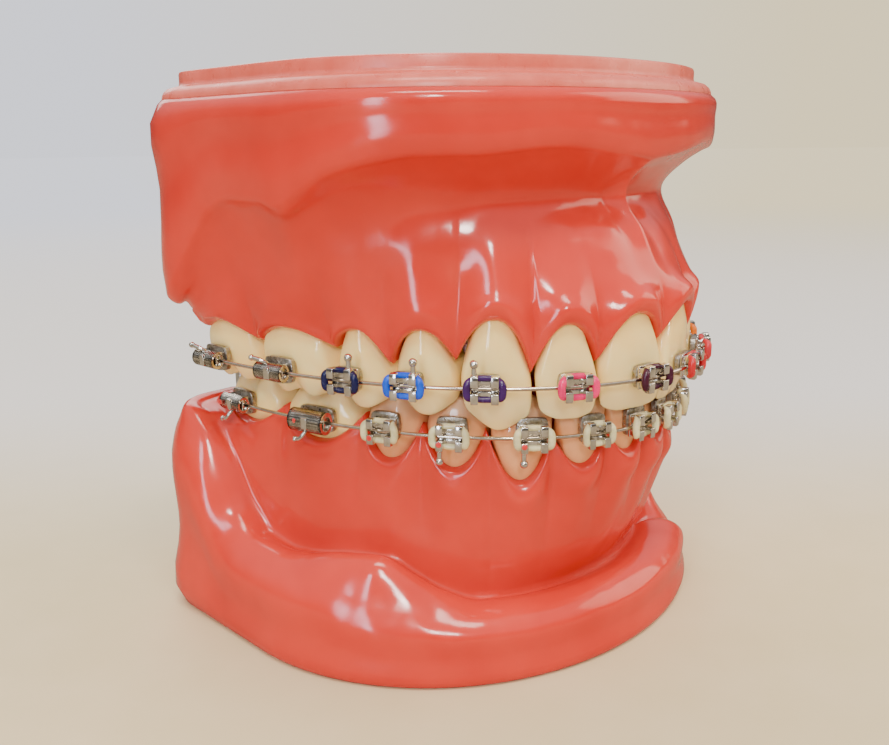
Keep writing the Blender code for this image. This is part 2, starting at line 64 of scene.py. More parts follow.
# name, kind, width, depth, tip z, gum margin z, hook side (+1 mesial, -1 distal),
# bracket shift away from the midline
UPPER_TEETH = [
    ("central_incisor", "central", 8.5, 6.5, 27.3, 37.2, 0, -0.8),
    ("lateral_incisor", "lateral", 6.8, 6.0, 27.1, 36.7, 0, -0.3),
    ("canine", "canine", 7.6, 7.8, 26.0, 37.3, -1, 0.9),
    ("first_premolar", "premolar", 7.0, 8.8, 27.3, 36.1, 1, 1.1),
    ("second_premolar", "premolar", 6.8, 8.8, 27.5, 35.8, 1, 0.7),
    ("first_molar", "molar", 10.2, 10.6, 27.9, 35.3, 0, 0.7),
    ("second_molar", "molar", 9.8, 10.4, 28.3, 35.0, 0, 0.6),
]
LOWER_TEETH = [
    ("central_incisor", "lower_incisor", 5.4, 5.6, 28.8, 22.6, 0, -0.4),
    ("lateral_incisor", "lower_incisor", 5.9, 5.8, 28.8, 21.9, 0, -0.8),
    ("canine", "canine", 6.8, 7.2, 29.2, 20.4, -1, -1.0),
    ("first_premolar", "premolar", 7.0, 7.6, 28.8, 21.6, -1, 0.0),
    ("second_premolar", "premolar", 7.1, 8.0, 28.7, 22.0, 0, 0.0),
    ("first_molar", "molar", 11.0, 10.0, 28.6, 22.9, 0, -0.7),
    ("second_molar", "molar", 10.5, 9.8, 28.5, 23.2, 0, 0.3),
]
# rim, shoulder and fold are heights, rim_inset and fold_inset go in from the outline, all over the angle from
# the front in degrees. papillae are the gum tips' z between the teeth, from the midline back.
UPPER = dict(
    name="upper", body="upper_jaw", up=-1, face_z=LEDGE_Z, half=27.3, depth=42.1, front=0.0, slot_z=31.0,
    base_front=1.7, base_half=30.2, rear_flare=0.7, base_shoulder=0.7, roundness=2.2, flare=0.0, floor=12.1,
    pad=23.4, corner=9.0, left_drop=0.0, teeth=UPPER_TEETH,
    papillae=[33.9, 32.5, 31.9, 32.9, 32.2, 33.6, 33.2],
    rim=[(0, 6.8), (12, 6.3), (30, 5.4), (47, 6.0), (56, 6.0), (64, 6.6), (72, 7.7), (79, 9.7), (84, 10.9),
         (90, 10.3), (98, 10.3), (105, 11.4), (112, 15.6), (118, 20.4), (124, 22.1), (134, 22.3)],
    shoulder=[(0, 6.1), (12, 5.6), (30, 4.8), (47, 5.4), (56, 5.4), (64, 5.9), (72, 6.9), (79, 8.8),
              (84, 10.0), (90, 9.5), (98, 9.5), (105, 10.6), (112, 14.6), (118, 19.2), (124, 21.0),
              (134, 21.2)],
    rim_inset=[(0, 1.1), (70, 1.1), (84, 0.8), (107, 0.9), (121, 0.7)],
    fold=[(0, 9.6), (6, 9.9), (47, 9.9), (68, 10.7), (80, 12.3), (86, 13.6), (96, 15.3), (106, 16.9),
          (114, 19.8), (120, 22.1), (128, 23.1)],
    fold_inset=[(0, 3.6), (6, 5.2), (55, 5.4), (70, 4.4), (80, 2.9), (85, 2.7), (94, 3.2), (104, 2.9),
                (114, 2.2), (122, 2.0)],
)
LOWER = dict(
    name="lower", body="lower_jaw", up=1, face_z=0.0, half=24.4, depth=38.6, front=2.0, slot_z=25.4,
    base_front=1.5, base_half=31.0, rear_flare=0.0, base_shoulder=3.0, roundness=2.0, flare=-0.45, floor=12.9,
    pad=25.2, corner=6.0, left_drop=3.2, teeth=LOWER_TEETH,
    papillae=[26.2, 25.8, 25.5, 25.8, 26.0, 26.2, 26.0],
    rim=[(0, 7.2), (30, 7.2), (45, 7.4), (55, 9.0), (62, 10.8), (70, 12.6), (80, 12.2), (88, 11.3),
         (96, 10.7), (104, 11.0), (110, 13.2), (114, 18.0), (118, 22.2), (123, 24.6), (134, 24.8)],
    shoulder=[(0, 6.4), (45, 6.8), (62, 6.8), (72, 7.6), (80, 8.8), (96, 8.6), (107, 9.4), (111, 12.4),
              (115, 18.0), (120, 21.0), (128, 22.0)],
    rim_inset=[(0, 3.4), (30, 3.8), (45, 4.2), (80, 4.5), (96, 4.2), (107, 3.2), (114, 2.6), (125, 2.4)],
    fold=[(0, 6.4), (30, 6.4), (45, 6.6), (55, 8.0), (62, 9.7), (70, 11.4), (80, 11.2), (90, 10.4), (98, 9.9),
          (106, 10.7), (111, 13.8), (116, 19.8), (122, 23.8), (130, 24.4)],
    fold_inset=[(0, 5.8), (45, 6.2), (80, 6.6), (98, 6.2), (108, 5.4), (116, 4.6), (126, 4.0)],
)
JAWS = (LOWER, UPPER)

# ---------------------------------------------------------------- shared curves


curve_slopes = {}


def smooth(knots, x):
    """A smooth curve through (x, value) knots."""
    if id(knots) not in curve_slopes:
        xs, ys = zip(*knots)
        steep = [(d - c) / (b - a) for a, b, c, d in zip(xs, xs[1:], ys, ys[1:])]
        inner = [0.0 if a * b <= 0 else 2 * a * b / (a + b) for a, b in zip(steep, steep[1:])]
        curve_slopes[id(knots)] = xs, ys, [steep[0], *inner, steep[-1]]
    xs, ys, slopes = curve_slopes[id(knots)]
    x = min(max(x, xs[0]), xs[-1])
    i = min(bisect_right(xs, x) - 1, len(xs) - 2)
    span = xs[i + 1] - xs[i]
    t = (x - xs[i]) / span
    return (ys[i] * (1 + 2 * t) * (1 - t) ** 2 + ys[i + 1] * t * t * (3 - 2 * t)
            + span * (slopes[i] * t * (1 - t) ** 2 - slopes[i + 1] * t * t * (1 - t)))


def step(low, high, x):
    t = min(max((x - low) / (high - low), 0.0), 1.0)
    return t * t * (3 - 2 * t)


def arch_table(jaw):
    """Arc length, x, y and outward normal along one side of the line of tooth faces."""
    turn = np.radians(np.linspace(0, 112, 900))
    x = jaw["half"] * np.sin(turn)
    y = FRONT_Y + jaw["front"] + jaw["depth"] * (1 - np.cos(turn))
    length = np.concatenate([[0], np.cumsum(np.hypot(np.diff(x), np.diff(y)))])
    nx, ny = np.sin(turn) / jaw["half"], -np.cos(turn) / jaw["depth"]
    size = np.hypot(nx, ny)
    return length, x, y, nx / size, ny / size


def arch_at(jaw, along, out=0.0):
    """The point and the outward normal at a signed arc length from the midline."""
    length, x, y, nx, ny = jaw["table"]
    side = -1 if along < 0 else 1
    px, py, ox, oy = (float(np.interp(abs(along), length, c)) for c in (x, y, nx, ny))
    return Vector((side * (px + ox * out), py + oy * out, 0)), Vector((side * ox, oy, 0))


def standing(point, z, outward):
    """A matrix in millimetres whose +y points inwards, standing at a point of the arch."""
    turn = math.atan2(outward.x, -outward.y)
    return Matrix.Translation((point.x, point.y, z)) @ Matrix.Rotation(turn, 4, "Z")


def tooth_centres(jaw):
    ends = np.cumsum([tooth[2] for tooth in jaw["teeth"]])
    return [end - tooth[2] / 2 for end, tooth in zip(ends, jaw["teeth"])]


def outline_inside(jaw, x, y, inset):
    half, back, shoulder = jaw["base_half"] - inset, BACK_Y - inset, jaw["base_shoulder"]
    front, corner = FRONT_Y + jaw["base_front"] + inset, max(jaw["corner"] - inset, 1.0)
    if y < shoulder:
        run = (shoulder - y) / (shoulder - front)
        return abs(x / half) ** jaw["roundness"] + run ** jaw["roundness"] < 1
    dx, dy = abs(x) - (half - corner), y - (back - corner)
    if dx > 0 and dy > 0:
        return dx * dx + dy * dy < corner * corner
    return abs(x) < half and y < back


def reach(jaw, angle, inset):
    """How far a base's outline is from the centre in the direction of an angle from the front."""
    low, high = 0.0, 60.0
    for _ in range(24):
        mid = (low + high) / 2
        inside = outline_inside(jaw, mid * math.sin(angle), CENTRE_Y - mid * math.cos(angle), inset)
        low, high = (mid, high) if inside else (low, mid)
    return low


# ---------------------------------------------------------------- meshes


def deselect():
    if bpy.context.object and bpy.context.object.mode != "OBJECT":
        bpy.ops.object.mode_set(mode="OBJECT")
    bpy.ops.object.select_all(action="DESELECT")


def grab(piece):
    deselect()
    piece.select_set(True)
    bpy.context.view_layer.objects.active = piece
    return piece


def edit_whole(operator, **settings):
    """Runs one edit-mode operator on all of the active piece."""
    bpy.ops.object.mode_set(mode="EDIT")
    bpy.ops.mesh.select_all(action="SELECT")
    operator(**settings)
    bpy.ops.object.mode_set(mode="OBJECT")


def outward_faces(piece):
    """Merges doubles and turns every face outwards."""
    grab(piece)
    edit_whole(bpy.ops.mesh.remove_doubles, threshold=1e-5)
    edit_whole(bpy.ops.mesh.normals_make_consistent, inside=False)
    return piece


def apply_modifiers(piece):
    grab(piece)
    for modifier in list(piece.modifiers):
        bpy.ops.object.modifier_apply(modifier=modifier.name)
    return piece


def bevelled(piece, width, segments, angle):
    """Rounds a piece's edges. The width is in millimetres, as the piece still is."""
    modifier = piece.modifiers.new("edge rounding", "BEVEL")
    modifier.width, modifier.segments = width, segments
    modifier.limit_method, modifier.angle_limit = "ANGLE", math.radians(angle)
    return apply_modifiers(piece)


def shade(piece, angle):
    grab(piece)
    bpy.ops.object.shade_smooth_by_angle(angle=math.radians(angle))
    return piece


def move_points(piece, change):
    """Every vertex goes where change(x, y, z) says."""
    for vert in piece.data.vertices:
        vert.co = change(*vert.co)
    piece.data.update()
    return piece


def settled(name):
    """Names the new primitive, puts its place into its mesh and leaves it at the origin."""
    piece = grab(bpy.context.object)
    piece.name = name
    bpy.ops.object.transform_apply(location=True, rotation=True, scale=True)
    return piece


def block(name, low, high, rounding=0.0):
    """A box from corner to corner, its edges rounded in edit mode."""
    deselect()
    centre = [(a + b) / 2 for a, b in zip(low, high)]
    size = [b - a for a, b in zip(low, high)]
    bpy.ops.mesh.primitive_cube_add(size=1, location=centre, scale=size)
    piece = settled(name)
    if rounding:
        edit_whole(bpy.ops.mesh.bevel, offset=rounding, segments=3, affect="EDGES")
    return piece


def select_faces(piece, test):
    """Selects, in edit mode, the faces whose centre and normal pass the test."""
    grab(piece)
    bpy.ops.object.mode_set(mode="EDIT")
    bpy.ops.mesh.select_mode(type="FACE")
    mesh = bmesh.from_edit_mesh(piece.data)
    for face in mesh.faces:
        face.select = bool(test(face.calc_center_median(), face.normal))
    mesh.select_flush(True)
    bmesh.update_edit_mesh(piece.data)


def rod(name, radius, low, high, sides):
    """A round bar between two points."""
    deselect()
    low, high = Vector(low), Vector(high)
    run = high - low
    turn = run.to_track_quat("Z", "Y").to_euler()
    bpy.ops.mesh.primitive_cylinder_add(
        vertices=sides, radius=radius, depth=run.length, location=(low + high) / 2, rotation=turn)
    return settled(name)


def ball(name, radius, centre, segments, rings, scale=(1, 1, 1)):
    deselect()
    bpy.ops.mesh.primitive_uv_sphere_add(
        segments=segments, ring_count=rings, radius=radius, location=centre, scale=scale)
    return settled(name)


def joined(name, pieces):
    grab(pieces[0])
    for piece in pieces:
        piece.select_set(True)
    bpy.ops.object.join()
    piece = bpy.context.object
    piece.name = piece.data.name = name
    return piece


def copy_of(model, name, matrix):
    """A copy of a millimetre model with its own mesh, set in place."""
    mesh = model.data.copy()
    mesh.name = name
    mesh.transform(matrix)
    if matrix.determinant() < 0:
        mesh.flip_normals()
    return new_object(name, mesh)


def new_object(name, data):
    made = bpy.data.objects.new(name, data)
    bpy.context.scene.collection.objects.link(made)
    return made


def finish(piece, body, slot, *nodes, surface=None):
    """Scales a piece to metres, gives it its surface and ties it to its CAD body."""
    piece.data.transform(Matrix.Scale(MM, 4))
    piece.data.update()
    if surface:
        piece.data.materials.clear()
        piece.data.materials.append(surface)
    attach(piece, body)
    if nodes:
        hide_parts(*nodes)
    return piece


# ---------------------------------------------------------------- finishes


def new_group(name, inputs, outputs):
    """A shader node group: inputs are (name, socket type, default), outputs (name, socket type)."""
    group = bpy.data.node_groups.new(name, "ShaderNodeTree")
    for label, kind, default in inputs:
        made = group.interface.new_socket(label, in_out="INPUT", socket_type=kind)
        if default is not None:
            made.default_value = default
    for label, kind in outputs:
        group.interface.new_socket(label, in_out="OUTPUT", socket_type=kind)
    return group, group.nodes.new("NodeGroupInput"), group.nodes.new("NodeGroupOutput")


def put(node, values):
    """Sets a node's free inputs, by name or number."""
    for label, value in values.items():
        node.inputs[label].default_value = value


def add(tree, kind, values=None, **settings):
    node = tree.nodes.new(kind)
    for key, value in settings.items():
        setattr(node, key, value)
    put(node, values or {})
    return node


def link(tree, *rows):
    """Each row is a node, its output, the next node and its input."""
    for source, output, target, entry in rows:
        tree.links.new(source.outputs[output], target.inputs[entry])


def fade(tree, low, high, top=1.0):
    """A smooth step from 0 at low to top at high."""
    return add(tree, "ShaderNodeMapRange", {"From Min": low, "From Max": high, "To Max": top},
               interpolation_type="SMOOTHSTEP")


def make_mottle_group():
    """Cloudy colour between two tones, as in tinted resin."""
    grey = (0.5, 0.5, 0.5, 1)
    group, start, end = new_group(
        "cloudy_tint",
        [("Vector", "NodeSocketVector", None), ("Scale", "NodeSocketFloat", 120.0),
         ("Tone A", "NodeSocketColor", grey), ("Tone B", "NodeSocketColor", grey)],
        [("Color", "NodeSocketColor")])
    cloud = add(group, "ShaderNodeTexNoise", {"Detail": 3.0, "Roughness": 0.55})
    ramp = add(group, "ShaderNodeMapRange", {"From Min": 0.34, "From Max": 0.66})
    mix = add(group, "ShaderNodeMix", data_type="RGBA")
    link(group, (start, "Vector", cloud, "Vector"), (start, "Scale", cloud, "Scale"),
         (cloud, "Fac", ramp, "Value"), (ramp, "Result", mix, "Factor"), (start, "Tone A", mix, "A"),
         (start, "Tone B", mix, "B"), (mix, "Result", end, "Color"))
    return group


def make_wear_group():
    """Uneven gloss and a low relief, from fine noise over broad noise."""
    group, start, end = new_group(
        "handled_gloss",
        [("Vector", "NodeSocketVector", None), ("Fine Scale", "NodeSocketFloat", 900.0),
         ("Broad Scale", "NodeSocketFloat", 140.0), ("Gloss", "NodeSocketFloat", 0.2),
         ("Dull", "NodeSocketFloat", 0.35)],
        [("Roughness", "NodeSocketFloat"), ("Height", "NodeSocketFloat")])
    fine = add(group, "ShaderNodeTexNoise", {"Detail": 4.0})
    broad = add(group, "ShaderNodeTexNoise", {"Detail": 1.0})
    spread = add(group, "ShaderNodeMapRange", {"From Min": 0.3, "From Max": 0.7})
    total = add(group, "ShaderNodeMath", {1: 0.12}, operation="MULTIPLY_ADD")
    link(group, (start, "Vector", fine, "Vector"), (start, "Vector", broad, "Vector"),
         (start, "Fine Scale", fine, "Scale"), (start, "Broad Scale", broad, "Scale"),
         (fine, "Fac", spread, "Value"), (start, "Gloss", spread, "To Min"),
         (start, "Dull", spread, "To Max"), (spread, "Result", end, "Roughness"), (fine, "Fac", total, 0),
         (broad, "Fac", total, 2), (total, "Value", end, "Height"))
    return group


CLOUDY, HANDLED = make_mottle_group(), make_wear_group()


def milk(weight, radius, depth, ior):
    """Shader values for a surface that light goes a little way into. The depth is in metres."""
    return {"Subsurface Weight": weight, "Subsurface Radius": radius, "Subsurface Scale": depth, "IOR": ior}


def new_material(name, scale, tone_a, tone_b, values):
    """A material in two cloudy tones, with its tree, shader, coordinates and colour node."""
    made = bpy.data.materials.new(name)
    made.use_nodes = True
    tree = made.node_tree
    shader = tree.nodes["Principled BSDF"]
    put(shader, values)
    place = add(tree, "ShaderNodeTexCoord")
    tint = add(tree, "ShaderNodeGroup", {"Scale": scale, "Tone A": (*tone_a, 1), "Tone B": (*tone_b, 1)},
               node_tree=CLOUDY)
    link(tree, (place, "Object", tint, "Vector"), (tint, "Color", shader, "Base Color"))
    return made, tree, shader, place, tint


def add_wear(tree, shader, place, gloss, dull, fine, broad, relief):
    """Links uneven roughness and a relief, in metres, to a shader."""
    wear = add(tree, "ShaderNodeGroup",
               {"Gloss": gloss, "Dull": dull, "Fine Scale": fine, "Broad Scale": broad}, node_tree=HANDLED)
    bump = add(tree, "ShaderNodeBump", {"Distance": relief, "Strength": 1.0})
    link(tree, (place, "Object", wear, "Vector"), (wear, "Roughness", shader, "Roughness"),
         (wear, "Height", bump, "Height"), (bump, "Normal", shader, "Normal"))
    return wear, bump


def resin(name, tone_a, tone_b, depth, milky, gloss=0.1, dull=0.2, relief=0.00006, cloud=90.0):
    """Tinted denture resin: cloudy, glossy and a little see-through at its surface."""
    made, tree, shader, place, _ = new_material(
        name, cloud, tone_a, tone_b, milk(milky, (1.0, 0.32, 0.2), depth, 1.5))
    add_wear(tree, shader, place, gloss, dull, 700.0, 110.0, relief)
    return made


def enamel(name, tone_a, tone_b):
    """Tooth resin: ivory body, warmer at the neck, greyer and clearer at the biting edge."""
    made, tree, shader, place, tint = new_material(
        name, 260.0, tone_a, tone_b, milk(0.3, (1.0, 0.7, 0.45), 0.0012, 1.55))
    split = add(tree, "ShaderNodeSeparateXYZ")
    height = add(tree, "ShaderNodeMath", {1: BITE_Z * MM}, operation="SUBTRACT")
    distance = add(tree, "ShaderNodeMath", operation="ABSOLUTE")
    neck, edge = fade(tree, 0.0035, 0.0088, 0.55), fade(tree, 0.0026, 0.0004, 0.35)
    warm = add(tree, "ShaderNodeMix", {"B": (1.0, 0.86, 0.66, 1)}, data_type="RGBA", blend_type="MULTIPLY")
    grey = add(tree, "ShaderNodeMix", {"B": (0.62, 0.55, 0.40, 1)}, data_type="RGBA")
    link(tree, (place, "Object", split, "Vector"), (split, "Z", height, 0), (height, "Value", distance, 0),
         (distance, "Value", neck, "Value"), (distance, "Value", edge, "Value"),
         (neck, "Result", warm, "Factor"), (tint, "Color", warm, "A"), (edge, "Result", grey, "Factor"),
         (warm, "Result", grey, "A"), (grey, "Result", shader, "Base Color"))
    add_wear(tree, shader, place, 0.06, 0.14, 900.0, 260.0, 0.00004)
    return made


def steel(name, tone_a, tone_b, gloss, dull, relief, fine=4000.0):
    """Stainless steel with a tumbled or drawn surface."""
    made, tree, shader, place, _ = new_material(name, 1400.0, tone_a, tone_b, {"Metallic": 1.0})
    add_wear(tree, shader, place, gloss, dull, fine, 900.0, relief)
    return made


def pad_steel():
    """The bonding pad's woven mesh: steel with a fine pebbled relief."""
    made, tree, shader, place, _ = new_material(
        "meshed_pad_steel", 2200.0, (0.26, 0.24, 0.20), (0.50, 0.47, 0.42), {"Metallic": 1.0})
    wear, bump = add_wear(tree, shader, place, 0.22, 0.45, 3000.0, 1500.0, 0.00003)
    pebbles = add(tree, "ShaderNodeTexVoronoi", {"Scale": 4200.0})
    total = add(tree, "ShaderNodeMath", operation="SUBTRACT")
    link(tree, (place, "Object", pebbles, "Vector"), (wear, "Height", total, 0),
         (pebbles, "Distance", total, 1), (total, "Value", bump, "Height"))
    return made


def elastic(name, tone, milky=0.05):
    """Moulded elastic: saturated, glossy and slightly cloudy."""
    darker = [0.72 * value for value in tone]
    made, tree, shader, place, _ = new_material(
        name, 900.0, darker, tone, milk(milky, (1.0, 0.8, 0.6), 0.0004, 1.48))
    add_wear(tree, shader, place, 0.14, 0.3, 2600.0, 700.0, 0.00002)
    return made


GUM = resin("coral_gum_resin", (0.60, 0.031, 0.018), (0.68, 0.046, 0.028), 0.0022, 0.28)
PLATE = resin("frosted_plate_resin", (0.66, 0.110, 0.070), (0.74, 0.145, 0.10), 0.0012, 0.15,
              gloss=0.24, dull=0.4, cloud=500.0)
TOOTH = enamel("ivory_tooth_resin", (1.0, 0.70, 0.27), (1.0, 0.76, 0.33))
# The lower front teeth are the same ivory resin as the upper ones. Their darker amber tone is painted shade
# from the upper teeth, with painted red light bounced from the gum.
SHADED_LOWER_TOOTH = enamel("lower_tooth_resin_painted_shade", (0.76, 0.34, 0.15), (0.84, 0.40, 0.19))
STEEL = steel("tumbled_bracket_steel", (0.56, 0.53, 0.47), (0.76, 0.73, 0.67), 0.08, 0.2, 0.000003)
PAD_STEEL = pad_steel()
WIRE = steel("drawn_wire_steel", (0.54, 0.46, 0.36), (0.68, 0.60, 0.50), 0.1, 0.22, 0.000003)
HINGE_STEEL = steel("plated_hinge_steel", (0.50, 0.50, 0.49), (0.62, 0.62, 0.60), 0.22, 0.42, 0.00001, 1500.0)
DOT = resin("red_marking_paint", (0.55, 0.02, 0.02), (0.70, 0.03, 0.03), 0.0002, 0.05,
            gloss=0.2, dull=0.35, relief=0.00001, cloud=2000.0)
PEARL = elastic("pearl_elastic", (0.78, 0.70, 0.40), 0.3)
ELASTIC_TONES = {
    ("right", "second_premolar"): ("navy_elastic", (0.004, 0.005, 0.06)),
    ("right", "first_premolar"): ("bright_blue_elastic", (0.002, 0.09, 0.80)),
    ("right", "canine"): ("violet_elastic", (0.045, 0.006, 0.10)),
    ("right", "lateral_incisor"): ("hot_pink_elastic", (0.90, 0.012, 0.15)),
    ("right", "central_incisor"): ("plum_elastic", (0.055, 0.004, 0.022)),
    ("left", "central_incisor"): ("red_elastic", (0.60, 0.01, 0.02)),
    ("left", "lateral_incisor"): ("coral_elastic", (0.66, 0.03, 0.05)),
    ("left", "canine"): ("orange_elastic", (0.90, 0.20, 0.004)),
    ("left", "first_premolar"): ("yellow_elastic", (0.85, 0.55, 0.01)),
    ("left", "second_premolar"): ("green_elastic", (0.05, 0.40, 0.10)),
}

# ---------------------------------------------------------------- gum bases


def gum_margin(jaw, along):
    """Gum height above the face, recess between the teeth, tooth depth there and the root's swell."""
    centres = tooth_centres(jaw)
    index = 0
    while index < 6 and along > centres[index] + jaw["teeth"][index][2] / 2:
        index += 1
    tooth = jaw["teeth"][index]
    across = max(min((along - centres[index]) / (tooth[2] / 2), 1.0), -1.0)
    papilla = jaw["papillae"][index if across < 0 or index == 6 else index + 1]
    zenith = abs(tooth[5] - jaw["face_z"])
    rise = abs(papilla - jaw["face_z"]) - zenith
    height = zenith + rise * abs(across) ** 2.2
    recess = (1.15 if index < 3 else 1.3) * abs(across) ** 3.2
    past = step(centres[-1] + 3.5, centres[-1] + 7.0, along)
    swell = (0.55 if index == 2 else 0.28) * math.cos(math.pi * across)
    depth = float(np.interp(along, centres, [t[3] for t in jaw["teeth"]]))
    return height * (1 - past) + jaw["pad"] * past, recess * (1 - past), depth, swell * (1 - past)


def gum_section(jaw, turn):
    """Key points (distance, height) of a base, cut from its centre outwards; the left side has turn > 0."""
    degrees = math.degrees(abs(turn))
    length, x, y, _, _ = jaw["table"]
    seen = np.arctan2(x, CENTRE_Y - y)
    ridge = 1 - step(134, 152, degrees)
    back = step(118, 134, degrees)
    rim, fold, shoulder = (smooth(jaw[curve], degrees) for curve in ("rim", "fold", "shoulder"))
    flare = (jaw["flare"] * (1 - step(123, 135, degrees))
             + jaw["rear_flare"] * step(106, 118, degrees) * (1 - step(126, 136, degrees)))
    drop = jaw["left_drop"] * step(38, 54, degrees) * (1 - step(76, 96, degrees)) if turn > 0 else 0.0
    turn = abs(turn)
    along = float(np.interp(turn, seen, length))
    rim_inset, fold_inset = smooth(jaw["rim_inset"], degrees), smooth(jaw["fold_inset"], degrees)
    fold_reach = reach(jaw, turn, fold_inset)
    tooth_face = min(
        float(np.interp(turn, seen, np.hypot(x, y - CENTRE_Y))),
        fold_reach - 1.5 + 12 * (1 - step(112, 124, degrees)),
    )
    margin, recess, depth, swell = gum_margin(jaw, along)
    margin, recess = margin * (1 - back) + jaw["pad"] * back, recess * (1 - back)
    swell *= 1 - back
    low = jaw["floor"]
    rim, fold, shoulder = rim - drop - 0.8 * (1 - ridge), fold - drop - 0.3 * (1 - ridge), shoulder - drop
    zeniths = [abs(tooth[5] - jaw["face_z"]) for tooth in jaw["teeth"]]
    level = float(np.interp(along, tooth_centres(jaw), zeniths)) * (1 - back) + jaw["pad"] * back
    low_buccal, high_buccal = fold + 0.36 * (level - fold), fold + 0.74 * (level - fold)
    slope_reach = tooth_face + 0.5 + swell

    def on_ridge(height):
        return low + (height - low) * ridge if height > low else height

    rim, fold = on_ridge(rim) - 0.8 * (1 - ridge), on_ridge(fold) - 0.4 * (1 - ridge)
    shoulder = min(on_ridge(shoulder), rim - 0.6)
    face = max(fold_reach, tooth_face)
    lingual = tooth_face - depth
    rim_reach = reach(jaw, turn, rim_inset)
    return [
        (reach(jaw, turn, 0.5), 0.0),
        (reach(jaw, turn, 0.05), 0.45),
        (reach(jaw, turn, -0.6 * flare), 0.45 * shoulder),
        (reach(jaw, turn, -flare), shoulder - 0.9),
        (reach(jaw, turn, rim_inset * 0.28 - flare), shoulder + 0.3 * (rim - shoulder)),
        (rim_reach, rim),
        (0.5 * (rim_reach + fold_reach), 0.5 * (rim + fold) - (0.5 if jaw["up"] < 0 else -0.1)),
        (fold_reach, fold),
        (0.58 * fold_reach + 0.42 * slope_reach, on_ridge(low_buccal) - 0.2 * (1 - ridge)),
        ((0.2 * fold_reach + 0.8 * slope_reach) * (1 - back) + (0.7 * tooth_face + 0.3 * face) * back
         - 0.25 * recess, on_ridge(high_buccal) - 0.1 * (1 - ridge)),
        (tooth_face + (0.55 + 0.4 * swell) * (1 - back) - 0.8 * recess,
         on_ridge(max(margin - 1.6, high_buccal + 0.4))),
        (tooth_face + 0.32 * (1 - back) - recess, on_ridge(margin - 0.35)),
        (tooth_face - 0.3 - recess, on_ridge(margin)),
        (tooth_face - 1.4 - recess, on_ridge(margin - 0.1)),
        (lingual + 1.4, on_ridge(margin - 0.1)),
        (lingual + 0.2, on_ridge(margin - 0.4)),
        (lingual - 0.7, on_ridge(margin - 1.6)),
        (lingual - 2.2, on_ridge(0.45 * margin + 0.55 * low)),
        (lingual - 4.5, on_ridge(low + 0.9)),
        (0.55 * (lingual - 4.5), low + 0.1 * ridge),
        (0.0, low),
    ]


SECTION_COUNTS = (3, 4, 6, 7, 5, 6, 6, 9, 8, 8, 7, 5, 4, 3, 4, 5, 5, 5, 4, 2)


def dense_rows(keys, counts):
    """A smooth line through key points, with a number of points for each gap."""
    keys = np.array(keys, float)
    gaps = np.maximum(np.hypot(*np.diff(keys, axis=0).T), 1e-4)
    slopes = np.diff(keys, axis=0) / gaps[:, None]
    tangents = np.empty_like(keys)
    tangents[0], tangents[-1] = slopes[0], slopes[-1]
    weight = gaps[:-1] + gaps[1:]
    tangents[1:-1] = (slopes[:-1] * gaps[1:, None] + slopes[1:] * gaps[:-1, None]) / weight[:, None]
    rows = [keys[0]]
    for i, count in enumerate(counts):
        for t in (np.arange(count) + 1) / count:
            rows.append(
                keys[i] * (1 + 2 * t) * (1 - t) ** 2 + keys[i + 1] * t * t * (3 - 2 * t)
                + gaps[i] * (tangents[i] * t * (1 - t) ** 2 - tangents[i + 1] * t * t * (1 - t)))
    return np.array(rows)


def swept(name, jaw, section, segments, up):
    """A closed body from one section per direction. section(turn) starts at the flat face's rim."""
    lines = []
    for i in range(segments):
        line = section(2 * math.pi * i / segments - math.pi)
        middle = np.array([[0.0, 0.0], [0.6 * line[0][0], 0.0]])
        lines.append(np.vstack([middle, line]))
    lines = np.array(lines)
    rows = lines.shape[1]
    deselect()
    bpy.ops.mesh.primitive_uv_sphere_add(segments=segments, ring_count=rows - 1, radius=1.0)
    piece = bpy.context.object
    piece.name = piece.data.name = name
    mesh = piece.data
    flat = np.empty(len(mesh.vertices) * 3)
    mesh.vertices.foreach_get("co", flat)
    co = flat.reshape(-1, 3)
    row = np.rint(np.arccos(np.clip(-co[:, 2], -1, 1)) / math.pi * (rows - 1)).astype(int)
    angle = np.arctan2(co[:, 0], -co[:, 1])
    pole = (row == 0) | (row == rows - 1)
    angle[pole] = 0.0
    place = np.rint((angle / (2 * math.pi) + 0.5) * segments).astype(int) % segments
    out, height = lines[place, row].T
    co[:, 0] = out * np.sin(angle)
    co[:, 1] = CENTRE_Y - out * np.cos(angle)
    co[:, 2] = jaw["face_z"] + up * height
    mesh.vertices.foreach_set("co", co.ravel())
    mesh.update()
    return outward_faces(piece)


def make_base(jaw):
    def section(turn):
        return dense_rows(gum_section(jaw, turn), SECTION_COUNTS)

    piece = swept(jaw["name"] + "_gum_base", jaw, section, BASE_SEGMENTS, jaw["up"])

    def hand_finished(x, y, z):
        """Cast resin is never quite even, apart from the flat face and the flat back."""
        keep = step(1.0, 6.0, abs(z - jaw["face_z"])) * step(0.2, 3.0, BACK_Y - y)
        spot = Vector((x, y, z))
        push = 0.16 * noise.noise(spot * 0.16) + 0.05 * noise.noise(spot * 0.5)
        out = Vector((x, y - CENTRE_Y, 0)).normalized() * push * keep
        return spot + out + Vector((0, 0, 0.5 * push * keep))

    move_points(piece, hand_finished)
    shade(piece, 60)
    return finish(piece, jaw["body"], "gum_resin", jaw["name"] + "_base", surface=GUM)


